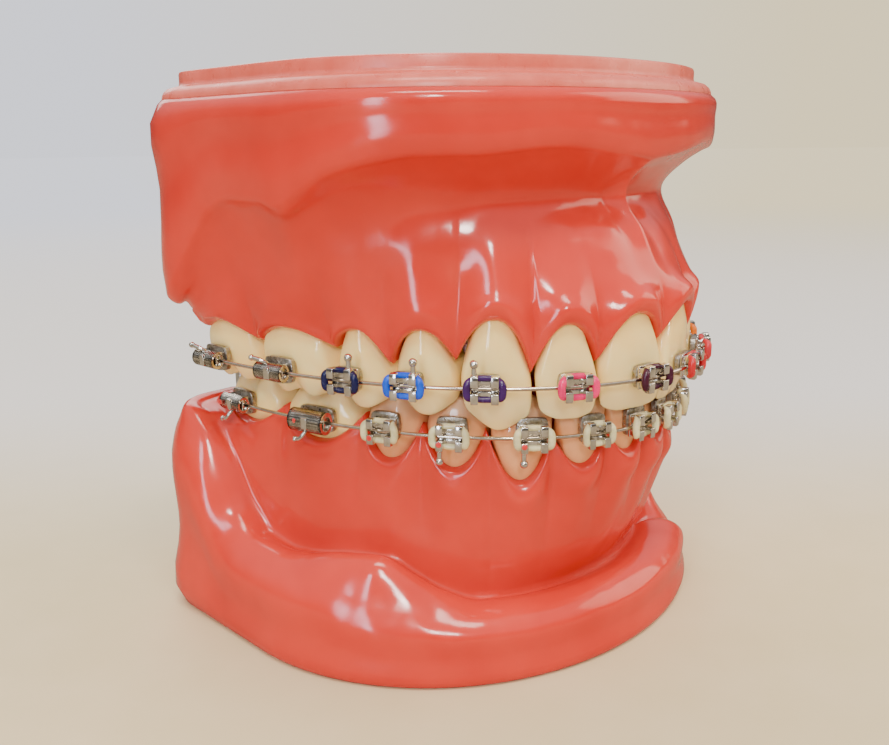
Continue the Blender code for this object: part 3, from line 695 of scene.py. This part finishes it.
def make_plate():
    """The stepped plate on the upper base: a rounded foot, a small shelf and an upright edge."""
    top = PLATE_HEIGHT
    steps = [(0.55, 0.0), (0.6, 0.35), (0.8, 0.75), (1.2, 1.1), (1.9, 1.3), (2.3, 1.36), (2.45, 1.5),
             (2.5, 1.8), (2.5, top - 0.3), (2.58, top - 0.08), (2.8, top)]

    def section(turn):
        line = [(reach(UPPER, abs(turn), inset), height) for inset, height in steps]
        inner = [(0.9 * line[-1][0], top), (0.45 * line[-1][0], top), (0.0, top)]
        return np.array(line + inner)

    plate = dict(UPPER, face_z=LEDGE_Z + 0.02)
    piece = swept("upper_stepped_plate", plate, section, PLATE_SEGMENTS, 1)
    shade(piece, 50)
    return finish(piece, "upper_jaw", "plate_resin", "upper_base_plate", surface=PLATE)


# ---------------------------------------------------------------- teeth

# Shares of the crown's height from the gum (0) to the tip (1), each with a share of the width or the depth.
TOOTH_FORMS = {
    "central": dict(
        wide=[(-0.4, 0.46), (0.0, 0.56), (0.22, 0.74), (0.45, 0.92), (0.68, 1.0), (0.88, 0.985), (1.0, 0.93)],
        front=[(-0.4, 0.22), (0.0, 0.06), (0.3, 0.0), (0.62, 0.02), (0.86, 0.09), (1.0, 0.17)],
        back=[(-0.4, 0.75), (0.0, 0.94), (0.3, 0.90), (0.62, 0.53), (0.86, 0.36), (1.0, 0.31)],
        square=0.60, taper=0.22),
    "lateral": dict(
        wide=[(-0.4, 0.44), (0.0, 0.54), (0.22, 0.71), (0.45, 0.91), (0.66, 1.0), (0.86, 0.95), (1.0, 0.86)],
        front=[(-0.4, 0.22), (0.0, 0.06), (0.3, 0.0), (0.62, 0.02), (0.86, 0.10), (1.0, 0.18)],
        back=[(-0.4, 0.75), (0.0, 0.94), (0.3, 0.90), (0.62, 0.54), (0.86, 0.37), (1.0, 0.32)],
        square=0.68, taper=0.24),
    "lower_incisor": dict(
        wide=[(-0.4, 0.50), (0.0, 0.60), (0.3, 0.78), (0.6, 0.93), (0.82, 1.0), (1.0, 0.96)],
        front=[(-0.4, 0.26), (0.0, 0.05), (0.3, 0.0), (0.62, 0.03), (0.86, 0.10), (1.0, 0.17)],
        back=[(-0.4, 0.75), (0.0, 0.94), (0.3, 0.88), (0.62, 0.54), (0.86, 0.36), (1.0, 0.30)],
        square=0.66, taper=0.24),
    "canine": dict(
        wide=[(-0.4, 0.44), (0.0, 0.56), (0.22, 0.73), (0.45, 0.90), (0.66, 1.0), (0.84, 0.985), (1.0, 0.9)],
        front=[(-0.4, 0.24), (0.0, 0.06), (0.3, 0.0), (0.55, 0.0), (0.8, 0.07), (1.0, 0.18)],
        back=[(-0.4, 0.72), (0.0, 0.92), (0.3, 0.88), (0.55, 0.62), (0.8, 0.44), (1.0, 0.36)],
        square=0.84, taper=0.26),
    "premolar": dict(
        wide=[(-0.4, 0.46), (0.0, 0.56), (0.22, 0.72), (0.46, 0.93), (0.64, 1.0), (0.85, 0.95), (1.0, 0.84)],
        front=[(-0.4, 0.20), (0.0, 0.06), (0.35, 0.0), (0.65, 0.02), (0.85, 0.07), (1.0, 0.15)],
        back=[(-0.4, 0.80), (0.0, 0.93), (0.4, 1.0), (0.75, 0.97), (1.0, 0.85)],
        square=0.86, taper=0.12),
    "molar": dict(
        wide=[(-0.4, 0.72), (0.0, 0.80), (0.25, 0.92), (0.5, 0.99), (0.66, 1.0), (0.85, 0.96), (1.0, 0.87)],
        front=[(-0.4, 0.16), (0.0, 0.06), (0.3, 0.0), (0.6, 0.02), (0.85, 0.08), (1.0, 0.15)],
        back=[(-0.4, 0.84), (0.0, 0.94), (0.4, 1.0), (0.75, 0.97), (1.0, 0.86)],
        square=0.66, taper=0.10),
}


def biting_surface(kind, mesial, inward, lower):
    """How far below the tip, in millimetres, the crown ends. mesial and inward run from -1 to 1."""
    distal = max(-mesial, 0.0)
    ahead = max(mesial, 0.0)
    if kind == "central":
        return 0.35 * ahead ** 5 + 0.9 * distal ** 3.5
    if kind == "lateral":
        return 0.6 * ahead ** 3.5 + 1.0 * distal ** 2.8
    if kind == "lower_incisor":
        return 0.15 * ahead ** 4 + 0.25 * distal ** 4
    if kind == "canine":
        return (1.5 * ahead ** 1.6 + 2.1 * distal ** 1.5) * (0.8 if lower else 1.0)
    if kind == "premolar":
        buccal = 1.35 * abs(mesial) ** 1.8
        dip = 1.9 * math.exp(-((inward - 0.05) / 0.3) ** 2)
        inner = (0.5 if lower else 0.9) * step(0.1, 0.5, inward)
        inner += 0.9 * abs(mesial) ** 2 * step(0.0, 0.4, inward)
        return buccal * (1 - step(0.0, 0.4, inward)) + dip + inner
    lead, rise = (0.5, 0.55) if lower else (0.52, 0.5)
    cusps = rise * (1 - math.cos(2 * math.pi * (mesial + lead)))
    ends = 0.9 * max(abs(mesial) - 0.75, 0.0) / 0.25
    dip = (1.5 - 0.5 * abs(mesial)) * math.exp(-((inward - 0.05) / 0.34) ** 2)
    inner = 0.35 * step(0.1, 0.5, inward)
    return 0.55 * cusps + ends + dip + inner


def make_tooth(jaw, tooth, side, centre):
    name, kind, width, depth, tip, margin, _, _ = tooth
    form = TOOTH_FORMS[kind]
    crown = abs(tip - margin)
    lower = jaw["up"] > 0
    mesial_way = -side
    deselect()
    bpy.ops.mesh.primitive_cube_add(size=2)
    piece = bpy.context.object
    edit_whole(bpy.ops.mesh.subdivide, number_cuts=CROWN_CUTS)

    def crown_point(x, y, z):
        share = -0.35 + 1.35 * ((z + 1) / 2) ** 0.85
        round_x = x * math.sqrt(1 - form["square"] * y * y / 2)
        round_y = y * math.sqrt(1 - form["square"] * x * x / 2)
        shrink = 0.9 if z < -0.999 else 1.0
        end = crown - biting_surface(kind, mesial_way * x, y, lower)
        top = share * (end if share > 0 else crown)
        wide = smooth(form["wide"], share)
        front, back = smooth(form["front"], share) * depth, smooth(form["back"], share) * depth
        across = round_x * shrink * wide * (width / 2 + 0.1) * (1 - form["taper"] * (round_y + 1) / 2)
        inward = (front + back) / 2 + round_y * shrink * (back - front) / 2
        lobes = 0.05 * math.cos(3 * math.pi * round_x) * step(0.2, 0.7, share)
        groove = 0.42 * math.exp(-(round_x / 0.16) ** 2) * step(0.35, 0.95, share) if kind == "molar" else 0.0
        if round_y < 0:
            inward += (lobes + groove) * min(1.0, -2 * round_y)
        lean = mesial_way * 0.035 * (share - 0.4) * crown if kind != "molar" else 0.0
        return Vector((across + lean, inward, jaw["up"] * top))

    move_points(piece, crown_point)
    point, outward = arch_at(jaw, side * centre)
    piece.data.transform(standing(point, margin, outward))
    outward_faces(piece)
    smoothing = piece.modifiers.new("subdivision", "SUBSURF")
    smoothing.levels = smoothing.render_levels = 1
    apply_modifiers(piece)
    shade(piece, 70)
    side_name = "right" if side < 0 else "left"
    node = f"{jaw['name']}_{side_name}_{name}"
    piece.name = piece.data.name = node + "_crown"
    # Lower front teeth take the resin copy darkened with painted shade and painted gum bounce light; the
    # lower molars keep the plain ivory.
    surface = SHADED_LOWER_TOOTH if lower and kind != "molar" else TOOTH
    return finish(piece, jaw["body"], "tooth_resin", node, surface=surface)


# ---------------------------------------------------------------- brackets, tubes and ties


def wing_pair(x, width):
    """One half of a twin bracket: two tie wings that curl back over the tie, with the slot between them."""
    halves = []
    for way in (1, -1):
        wing = block("wing", (x - width / 2, -1.92, min(0.3 * way, 0.92 * way)),
                     (x + width / 2, -0.7, max(0.3 * way, 0.92 * way)))
        select_faces(wing, lambda centre, normal: normal.z * way > 0.9)
        bpy.ops.mesh.extrude_region_move(TRANSFORM_OT_translate={"value": (0, -0.16, 0.44 * way)})
        bpy.ops.transform.resize(value=(0.94, 0.52, 1.0), center_override=(x, -1.62, 1.36 * way))
        bpy.ops.object.mode_set(mode="OBJECT")
        halves.append(wing)
    root = block("wing_root", (x - width / 2, -0.86, -1.0), (x + width / 2, -0.3, 1.0))
    return halves + [root]


def scalloped_pad(name, half_width, half_height):
    """The bonding pad: a thin curved plate with a knobbly rim."""
    pad = block(name, (-half_width, -0.42, -half_height), (half_width, 0.12, half_height))
    edit_whole(bpy.ops.mesh.subdivide, number_cuts=PAD_CUTS)

    def rim_wave(depth, along, across):
        on_rim = abs(across) > 0.98 and abs(along) < 0.95
        return 1 + depth * math.cos(12 * math.pi * along) if on_rim else 1.0

    def shape(x, y, z):
        u, w = x / half_width, z / half_height
        return Vector((x * rim_wave(0.03, w, u) * math.sqrt(1 - 0.22 * w * w), y + 0.2 * u * u,
                       z * rim_wave(0.035, u, w) * math.sqrt(1 - 0.22 * u * u)))

    move_points(pad, shape)
    bevelled(pad, 0.05, 2, 50)
    for surface in (STEEL, PAD_STEEL):
        pad.data.materials.append(surface)
    for face in pad.data.polygons:
        face.material_index = 1
    return pad


def make_bracket_model(half_width, half_height, overhang):
    """A twin bracket at the origin: the tooth is at y = 0, the slot runs along x, the gum is up."""
    pad = scalloped_pad("pad", half_width, half_height)
    pad.data.transform(Matrix.Translation((0, 0, -overhang)))
    metal = wing_pair(-0.98, 0.76) + wing_pair(0.98, 0.76)
    metal.append(block("saddle", (-0.7, -1.0, 0.3), (0.7, -0.3, 0.78)))
    metal.append(block("saddle", (-0.7, -1.0, -0.78), (0.7, -0.3, -0.3)))
    metal.append(block("slot_floor", (-1.4, -0.84, -0.5), (1.4, -0.3, 0.5)))
    metal.append(block("foot", (-1.42, -0.55, -1.18), (1.42, -0.25, 1.18)))
    for piece in metal:
        bevelled(piece, 0.07, 3, 30)
        piece.data.materials.append(STEEL)
    return shade(joined("bracket_model", [pad] + metal), 40)


def make_hook_model():
    """A power arm: a short tapered post with a ball, pointing up +z from a wing."""
    post = rod("post", 0.27, (0, -1.45, 0.7), (0, -1.5, 2.3), 16)

    def tapered(x, y, z):
        width = 1.25 - 0.15 * z
        return Vector((x * width, -1.47 + (y + 1.47) * width, z))

    move_points(post, tapered)
    knob = ball("knob", 0.43, (0, -1.5, 2.5), 20, 14)
    neck = ball("neck", 0.36, (0, -1.5, 1.35), 16, 10, (1, 1, 0.55))
    model = joined("hook_model", [post, knob, neck])
    model.data.materials.append(STEEL)
    return shade(model, 50)


def make_tie_model():
    """An elastic tie: a ring stretched under the wings and over the wire at both sides."""
    deselect()
    bpy.ops.mesh.primitive_torus_add(
        major_segments=56, minor_segments=14, major_radius=1.0, minor_radius=0.36,
        rotation=(math.pi / 2, 0, 0))
    tie = settled("tie_model")
    half_wide, half_high = 1.72, 1.06

    def stretched(x, y, z):
        turn = math.atan2(z, x)
        along_x, along_z = math.cos(turn), math.sin(turn)
        out = math.hypot(x, z) - 1.0
        squash = 1.0 / (abs(along_x) ** 3.2 + abs(along_z) ** 3.2) ** (1 / 3.2)
        centre_x, centre_z = half_wide * along_x * squash, half_high * along_z * squash
        side = step(0.45, 0.98, abs(centre_x) / half_wide)
        lift = -1.0 - 0.62 * side
        thin = 0.84 + 0.22 * side
        return Vector((centre_x + out * along_x * thin, lift + y * thin, centre_z + out * along_z * thin))

    move_points(tie, stretched)
    outward_faces(tie)
    return shade(tie, 70)


def make_tube_model(long, radius):
    """A buccal tube on its pad, with an open bore along x; its gum-side hook is a separate model joined on
    when it is fitted.
    """
    pad = scalloped_pad("tube_pad", long / 2 + 0.1, 1.35)
    barrel = rod("barrel", radius, (-long / 2, -WIRE_REACH, 0), (long / 2, -WIRE_REACH, 0), 32)
    select_faces(barrel, lambda centre, normal: abs(normal.x) > 0.9)
    bpy.ops.mesh.inset(thickness=radius * 0.34, use_individual=True)
    for way in (1, -1):
        bpy.ops.mesh.select_all(action="DESELECT")
        mesh = bmesh.from_edit_mesh(barrel.data)
        for face in mesh.faces:
            centre = face.calc_center_median()
            face.select = face.normal.x * way > 0.9 and len(face.verts) > 4
        bmesh.update_edit_mesh(barrel.data)
        bpy.ops.mesh.extrude_region_move(TRANSFORM_OT_translate={"value": (-way * 1.3, 0, 0)})
    bpy.ops.object.mode_set(mode="OBJECT")
    move_points(barrel, lambda x, y, z: Vector((x, y, z * 1.16)))
    bevelled(barrel, 0.07, 3, 40)
    shoulder = block("shoulder", (-long * 0.42, -WIRE_REACH, -0.86), (long * 0.42, -0.3, 0.86), 0.12)
    rib = block("rib", (-0.32, -WIRE_REACH - radius - 0.1, -0.62), (0.42, -WIRE_REACH, 0.62), 0.1)
    for piece in (barrel, shoulder, rib):
        piece.data.materials.append(STEEL)
    return shade(joined("tube_model", [pad, barrel, shoulder, rib]), 40)


def bent_wire(name, spots, radius, rounds, curved):
    """A round wire through points, made a mesh: curved between them, or straight."""
    line = bpy.data.curves.new(name + "_line", "CURVE")
    line.dimensions = "3D"
    line.bevel_depth, line.bevel_resolution = radius, rounds
    line.use_fill_caps = True
    spline = line.splines.new("BEZIER" if curved else "POLY")
    points = spline.bezier_points if curved else spline.points
    points.add(len(spots) - 1)
    for point, spot in zip(points, spots):
        if curved:
            point.co = spot
            point.handle_left_type = point.handle_right_type = "AUTO"
        else:
            point.co = (*spot, 1)
    grab(new_object(name, line))
    bpy.ops.object.convert(target="MESH")
    return bpy.context.object


def make_tube_hook_model(path):
    """The tube's hook: a bent wire along a path, with a rounded end."""
    bent = bent_wire("tube_hook_model", path, 0.24, 4, True)
    hook = joined("tube_hook_model", [bent, ball("knob", 0.33, path[-1], 16, 12)])
    hook.data.materials.clear()
    hook.data.materials.append(STEEL)
    return shade(hook, 50)


def fit_braces(jaw, models):
    """Brackets with ties on the front teeth and premolars, tubes on the molars."""
    gumwards = Matrix.Scale(-jaw["up"], 4, (0, 0, 1))
    lower = jaw["up"] > 0
    for (name, kind, _, _, _, _, hook_way, shift), centre in zip(jaw["teeth"], tooth_centres(jaw)):
        for side, side_name in SIDES:
            short = f"{jaw['name']}_{side_name}_{name}"
            point, outward = arch_at(jaw, side * (centre + shift), PAD_REACH)
            spot = standing(point, jaw["slot_z"], outward)
            if kind == "molar":
                fit_tube(jaw, short, side, spot, gumwards, models)
                continue
            slim = Matrix.Scale(0.86 if kind == "lower_incisor" else 1.0, 4, (1, 0, 0))
            model = models[jaw["name"] + "_bracket"]
            bracket = copy_of(model, short + "_twin_bracket", spot @ gumwards @ slim)
            if hook_way:
                stand = Matrix.Translation((-side * hook_way, 0, 0))
                hook = copy_of(models["hook"], short + "_hook", spot @ gumwards @ stand)
                bracket = joined(short + "_twin_bracket", [bracket, hook])
            finish(bracket, jaw["body"], "bracket_steel", short + "_bracket")
            if lower and kind != "lower_incisor":
                add_dot(jaw, short, spot, models, (side * 1.0, 0, -0.62))
            tie = copy_of(models["tie"], short + "_tie", spot @ gumwards @ slim)
            tone = PEARL if lower else elastic(*ELASTIC_TONES[side_name, name])
            finish(tie, jaw["body"], "tooth_resin", surface=tone)


def add_dot(jaw, short, spot, models, place):
    dot = copy_of(models["dot"], short + "_marking_dot", spot @ Matrix.Translation(place))
    finish(dot, jaw["body"], "bracket_steel", surface=DOT)


def fit_tube(jaw, short, side, spot, gumwards, models):
    big = jaw["up"] > 0 and short.endswith("first_molar")
    tube = copy_of(models["big_tube" if big else "tube"], short + "_tube", spot @ gumwards)
    hook_spot = spot @ gumwards @ Matrix.Scale(side, 4, (1, 0, 0)) @ Matrix.Translation((0.4, 0, 0))
    hook = copy_of(models[jaw["name"] + "_tube_hook"], short + "_tube_hook", hook_spot)
    finish(joined(short + "_tube", [tube, hook]), jaw["body"], "bracket_steel")
    if jaw["up"] > 0:
        add_dot(jaw, short, spot, models, (side * 1.3, -0.45, 0.1))


def make_archwire(jaw):
    """A smooth round wire through every slot, which ends just behind the last tubes."""
    end = tooth_centres(jaw)[-1] + 3.2
    spots = [arch_at(jaw, along, WIRE_REACH)[0] for along in np.linspace(-end, end, 240)]
    spots = [(spot.x, spot.y, jaw["slot_z"]) for spot in spots]
    wire = outward_faces(bent_wire(jaw["name"] + "_round_wire", spots, WIRE_RADIUS, 5, False))
    shade(wire, 50)
    return finish(wire, jaw["body"], "wire_steel", jaw["name"] + "_archwire", surface=WIRE)


# ---------------------------------------------------------------- rear hinge

LEAF_HALF, LEAF_THICK, LEAF_CORNER = 18.0, 1.2, 3.0
LEAF_GAP = 0.3
KNUCKLE_RADIUS = 1.8
SCREW_X = 14.0


def make_leaf(which):
    """A pressed leaf with rounded corners and rolled knuckles, and its two screws."""
    lower = which == "lower"
    far, near = (4.5, PIN_Z - 2.3) if lower else (PIN_Z + 2.3, 53.5)
    front = BACK_Y + LEAF_GAP
    back = front + LEAF_THICK
    plate = block(which + "_leaf", (-LEAF_HALF, front, far), (LEAF_HALF, back, near))
    bpy.ops.object.mode_set(mode="EDIT")
    bpy.ops.mesh.select_mode(type="EDGE")
    bpy.ops.mesh.select_all(action="DESELECT")
    mesh = bmesh.from_edit_mesh(plate.data)
    outer = far if lower else near
    for edge in mesh.edges:
        a, b = (vert.co for vert in edge.verts)
        edge.select = abs(a.x - b.x) < 0.01 and abs(a.z - b.z) < 0.01 and abs(a.z - outer) < 0.01
    bmesh.update_edit_mesh(plate.data)
    bpy.ops.mesh.bevel(offset=LEAF_CORNER, segments=6, affect="EDGES")
    bpy.ops.object.mode_set(mode="OBJECT")
    spans = [(-13.0, -6.0), (6.0, 13.0)] if lower else [(-5.7, 5.7)]
    parts = [plate]
    for left, right in spans:
        low, high = sorted((PIN_Z - 2.6 if lower else PIN_Z + 2.6, PIN_Z))
        parts.append(block("tab", (left, front, low), (right, back, high)))
        parts.append(rod("knuckle", KNUCKLE_RADIUS, (left, PIN_Y, PIN_Z), (right, PIN_Y, PIN_Z), 40))
    for piece in parts:
        bevelled(piece, 0.18, 3, 40)
    leaf = shade(joined(which + "_pressed_leaf", parts), 40)
    body = which + "_jaw"
    finish(leaf, body, "hinge_steel", which + "_hinge_leaf", surface=HINGE_STEEL)
    for side, side_name in SIDES:
        make_screw(f"{which}_{side_name}_hinge_screw", body, side * SCREW_X, 9.0 if lower else 49.5)


def make_screw(node, body, x, z):
    """A pan-head screw with a cross recess."""
    seat = BACK_Y + LEAF_GAP + LEAF_THICK
    head = rod(node + "_head", 1.75, (x, seat, z), (x, seat + 0.95, z), 40)
    bevelled(head, 0.4, 4, 60)
    for number, size in enumerate(((1.0, 0.16), (0.16, 1.0))):
        cutter = block("recess", (x - size[0], seat + 0.5, z - size[1]), (x + size[0], seat + 2, z + size[1]))
        made = head.modifiers.new(f"recess {number}", "BOOLEAN")
        made.operation, made.object, made.solver = "DIFFERENCE", cutter, "EXACT"
        apply_modifiers(head)
        bpy.data.objects.remove(cutter)
    shank = rod("shank", 0.72, (x, seat + 0.1, z), (x, seat - 5, z), 20)
    screw = shade(joined(node + "_cross_head", [head, shank]), 40)
    finish(screw, body, "hinge_steel", node, surface=HINGE_STEEL)


def make_pin():
    pin = rod("pin", 0.9, (-13.6, PIN_Y, PIN_Z), (13.6, PIN_Y, PIN_Z), 32)
    caps = [rod("cap", 1.35, (way * 13.2, PIN_Y, PIN_Z), (way * 14.0, PIN_Y, PIN_Z), 32) for way in (-1, 1)]
    for cap in caps:
        bevelled(cap, 0.25, 3, 60)
    pin = shade(joined("riveted_hinge_pin", [pin] + caps), 40)
    finish(pin, "lower_jaw", "hinge_steel", "hinge_pin", surface=HINGE_STEEL)


# ---------------------------------------------------------------- stage

CAMERA_PLACE = (-80.13, -73.95, 53.97)
CAMERA_YAW, CAMERA_PITCH, CAMERA_ROLL = -45.35, 14.30, -0.76
CAMERA_LENS = 37.12
WALL_COOL = (1.14, 1.16, 1.28, 1)
WALL_WARM = (1.28, 1.08, 0.68, 1)
# Share of the way from straight down to straight up, and the room's light from there.
ROOM_LIGHT = [(0.02, (0.42, 0.37, 0.30)), (0.46, (0.34, 0.31, 0.27)), (0.52, (0.10, 0.09, 0.08)),
              (0.60, (0.16, 0.15, 0.14)), (0.74, (0.75, 0.74, 0.74)), (0.98, (1.0, 0.97, 0.93))]
# name, place, height of its target, size, power, colour
LIGHTS = [
    ("window", (-0.57, -0.20, 0.13), 0.04, (0.09, 0.40), 1.8, (0.74, 0.82, 1.0)),
    ("desk_lamp", (-0.44, -0.48, 0.43), 0.03, (0.07, 0.12), 2.2, (1.0, 0.95, 0.88)),
    ("ceiling", (-0.20, -0.26, 0.76), 0.02, (0.42, 0.16), 4.4, (1.0, 0.92, 0.80)),
    ("fill", (0.55, -0.42, 0.35), 0.03, (0.5, 0.5), 2.9, (1.0, 0.82, 0.60)),
    ("back_fill", (0.25, 0.6, 0.5), 0.03, (0.6, 0.6), 3.3, (1.0, 0.95, 0.88)),
]


def make_camera():
    data = bpy.data.cameras.new("studio_camera")
    data.lens, data.sensor_width = CAMERA_LENS, 36.0
    data.clip_start = 0.005
    camera = new_object("studio_camera", data)
    camera.matrix_world = (
        Matrix.Translation(Vector(CAMERA_PLACE) * MM)
        @ Matrix.Rotation(math.radians(CAMERA_YAW), 4, "Z")
        @ Matrix.Rotation(math.radians(90 - CAMERA_PITCH), 4, "X")
        @ Matrix.Rotation(math.radians(CAMERA_ROLL), 4, "Z")
    )
    bpy.context.scene.camera = camera


def add_wall_tint(tree, place, output):
    """The wall's colour in a direction: cool on one side of the room, warm on the other."""
    unit = add(tree, "ShaderNodeVectorMath", operation="NORMALIZE")
    sideways = add(tree, "ShaderNodeVectorMath", {1: (0.70, -0.71, 0.0)}, operation="DOT_PRODUCT")
    spread = add(tree, "ShaderNodeMapRange", {"From Min": -0.35, "From Max": 0.35})
    wall = add(tree, "ShaderNodeMix", {"A": WALL_COOL, "B": WALL_WARM}, data_type="RGBA")
    link(tree, (place, output, unit, 0), (unit, "Vector", sideways, 0),
         (sideways, "Value", spread, "Value"), (spread, "Result", wall, "Factor"))
    return wall


def make_floor():
    """A wide pale table top, creamy near the model and lost in the wall's colour far away."""
    deselect()
    bpy.ops.mesh.primitive_circle_add(vertices=96, radius=4.0, fill_type="NGON", location=(0, 0, 0))
    floor = bpy.context.object
    floor.name = "table_top"
    made, tree, shader, place, paper = new_material(
        "pale_table", 90.0, (0.69, 0.575, 0.34), (0.72, 0.60, 0.37),
        {"Emission Strength": 1.0, "Specular IOR Level": 0.1, "Roughness": 0.6})
    away = add(tree, "ShaderNodeVectorMath", {1: (0.711, 0.703, 0.0)}, operation="DOT_PRODUCT")
    cooling, gone = fade(tree, -0.01, 0.09), fade(tree, 0.10, 0.75)
    cool = add(tree, "ShaderNodeMix", {"B": (0.70, 0.68, 0.67, 1)}, data_type="RGBA")
    distance = add(tree, "ShaderNodeVectorMath", operation="LENGTH")
    lit = add(tree, "ShaderNodeMix", {"B": (0, 0, 0, 1)}, data_type="RGBA")
    hazy = add(tree, "ShaderNodeMix", {"A": (0, 0, 0, 1)}, data_type="RGBA")
    ray = add(tree, "ShaderNodeLightPath")
    dim = add(tree, "ShaderNodeMix", {"B": (0.30, 0.25, 0.18, 1)}, data_type="RGBA")
    far = add(tree, "ShaderNodeMix", {"Factor": 1.0}, data_type="RGBA", blend_type="MULTIPLY")
    wall = add_wall_tint(tree, place, "Object")
    link(tree, (place, "Object", away, 0), (away, "Value", cooling, "Value"),
         (cooling, "Result", cool, "Factor"), (paper, "Color", cool, "A"), (place, "Object", distance, 0),
         (distance, "Value", gone, "Value"), (gone, "Result", lit, "Factor"),
         (gone, "Result", hazy, "Factor"), (cool, "Result", lit, "A"), (wall, "Result", hazy, "B"),
         (lit, "Result", dim, "A"), (ray, "Is Glossy Ray", dim, "Factor"),
         (dim, "Result", shader, "Base Color"), (hazy, "Result", far, "A"), (ray, "Is Camera Ray", far, "B"),
         (far, "Result", shader, "Emission Color"))
    floor.data.materials.append(made)


def make_lights():
    for name, place, aim_z, size, power, colour in LIGHTS:
        data = bpy.data.lights.new(name, "AREA")
        data.shape = "RECTANGLE"
        data.size, data.size_y = size
        data.energy, data.color = power, colour
        lamp = new_object(name, data)
        turn = (Vector((0, 0, aim_z)) - Vector(place)).to_track_quat("-Z", "Y")
        lamp.matrix_world = Matrix.Translation(place) @ turn.to_matrix().to_4x4()


def make_room():
    """What the camera sees is the wall, and the pieces are lit by a soft room above and a table below."""
    world = bpy.data.worlds.new("studio_air")
    world.use_nodes = True
    tree = world.node_tree
    seen = tree.nodes["Background"]
    place = add(tree, "ShaderNodeTexCoord")
    wall = add_wall_tint(tree, place, "Generated")
    split = add(tree, "ShaderNodeSeparateXYZ")
    lift = add(tree, "ShaderNodeMath", {1: 0.5, 2: 0.5}, operation="MULTIPLY_ADD")
    room = add(tree, "ShaderNodeValToRGB")
    stops = room.color_ramp.elements
    for position, colour in ROOM_LIGHT:
        stops.new(position).color = (*colour, 1)
    stops.remove(stops[0])
    stops.remove(stops[-1])
    lit = add(tree, "ShaderNodeBackground", {"Strength": 1.1})
    ray = add(tree, "ShaderNodeLightPath")
    mix = add(tree, "ShaderNodeMixShader")
    link(tree, (wall, "Result", seen, "Color"), (place, "Generated", split, "Vector"), (split, "Z", lift, 0),
         (lift, "Value", room, "Fac"), (room, "Color", lit, "Color"), (ray, "Is Camera Ray", mix, "Fac"),
         (lit, "Background", mix, 1), (seen, "Background", mix, 2),
         (mix, "Shader", tree.nodes["World Output"], "Surface"))
    bpy.context.scene.world = world


# ---------------------------------------------------------------- build

make_camera()
for jaw in JAWS:
    jaw["table"] = arch_table(jaw)
for jaw in JAWS:
    make_base(jaw)
    for tooth, centre in zip(jaw["teeth"], tooth_centres(jaw)):
        for side in (-1, 1):
            make_tooth(jaw, tooth, side, centre)
make_plate()
models = dict(
    upper_bracket=make_bracket_model(1.5, 1.2, 0.0), lower_bracket=make_bracket_model(1.6, 1.5, 0.3),
    hook=make_hook_model(), tie=make_tie_model(),
    dot=ball("dot_model", 0.3, (0, -1.9, 0), 16, 10, (1, 0.25, 1)),
    tube=make_tube_model(3.6, 0.78), big_tube=make_tube_model(4.4, 1.05),
    upper_tube_hook=make_tube_hook_model(
        [(0, -1.1, 0.6), (0.3, -1.6, 1.05), (1.0, -1.85, 1.3), (1.8, -1.8, 1.35)]),
    lower_tube_hook=make_tube_hook_model(
        [(0, -1.1, 0.7), (0.1, -1.75, 1.3), (0.5, -2.0, 1.85), (1.2, -1.95, 2.05)]))
for jaw in JAWS:
    fit_braces(jaw, models)
    make_archwire(jaw)
for model in models.values():
    bpy.data.objects.remove(model)
for which in ("lower", "upper"):
    make_leaf(which)
make_pin()
make_floor()
make_lights()
make_room()
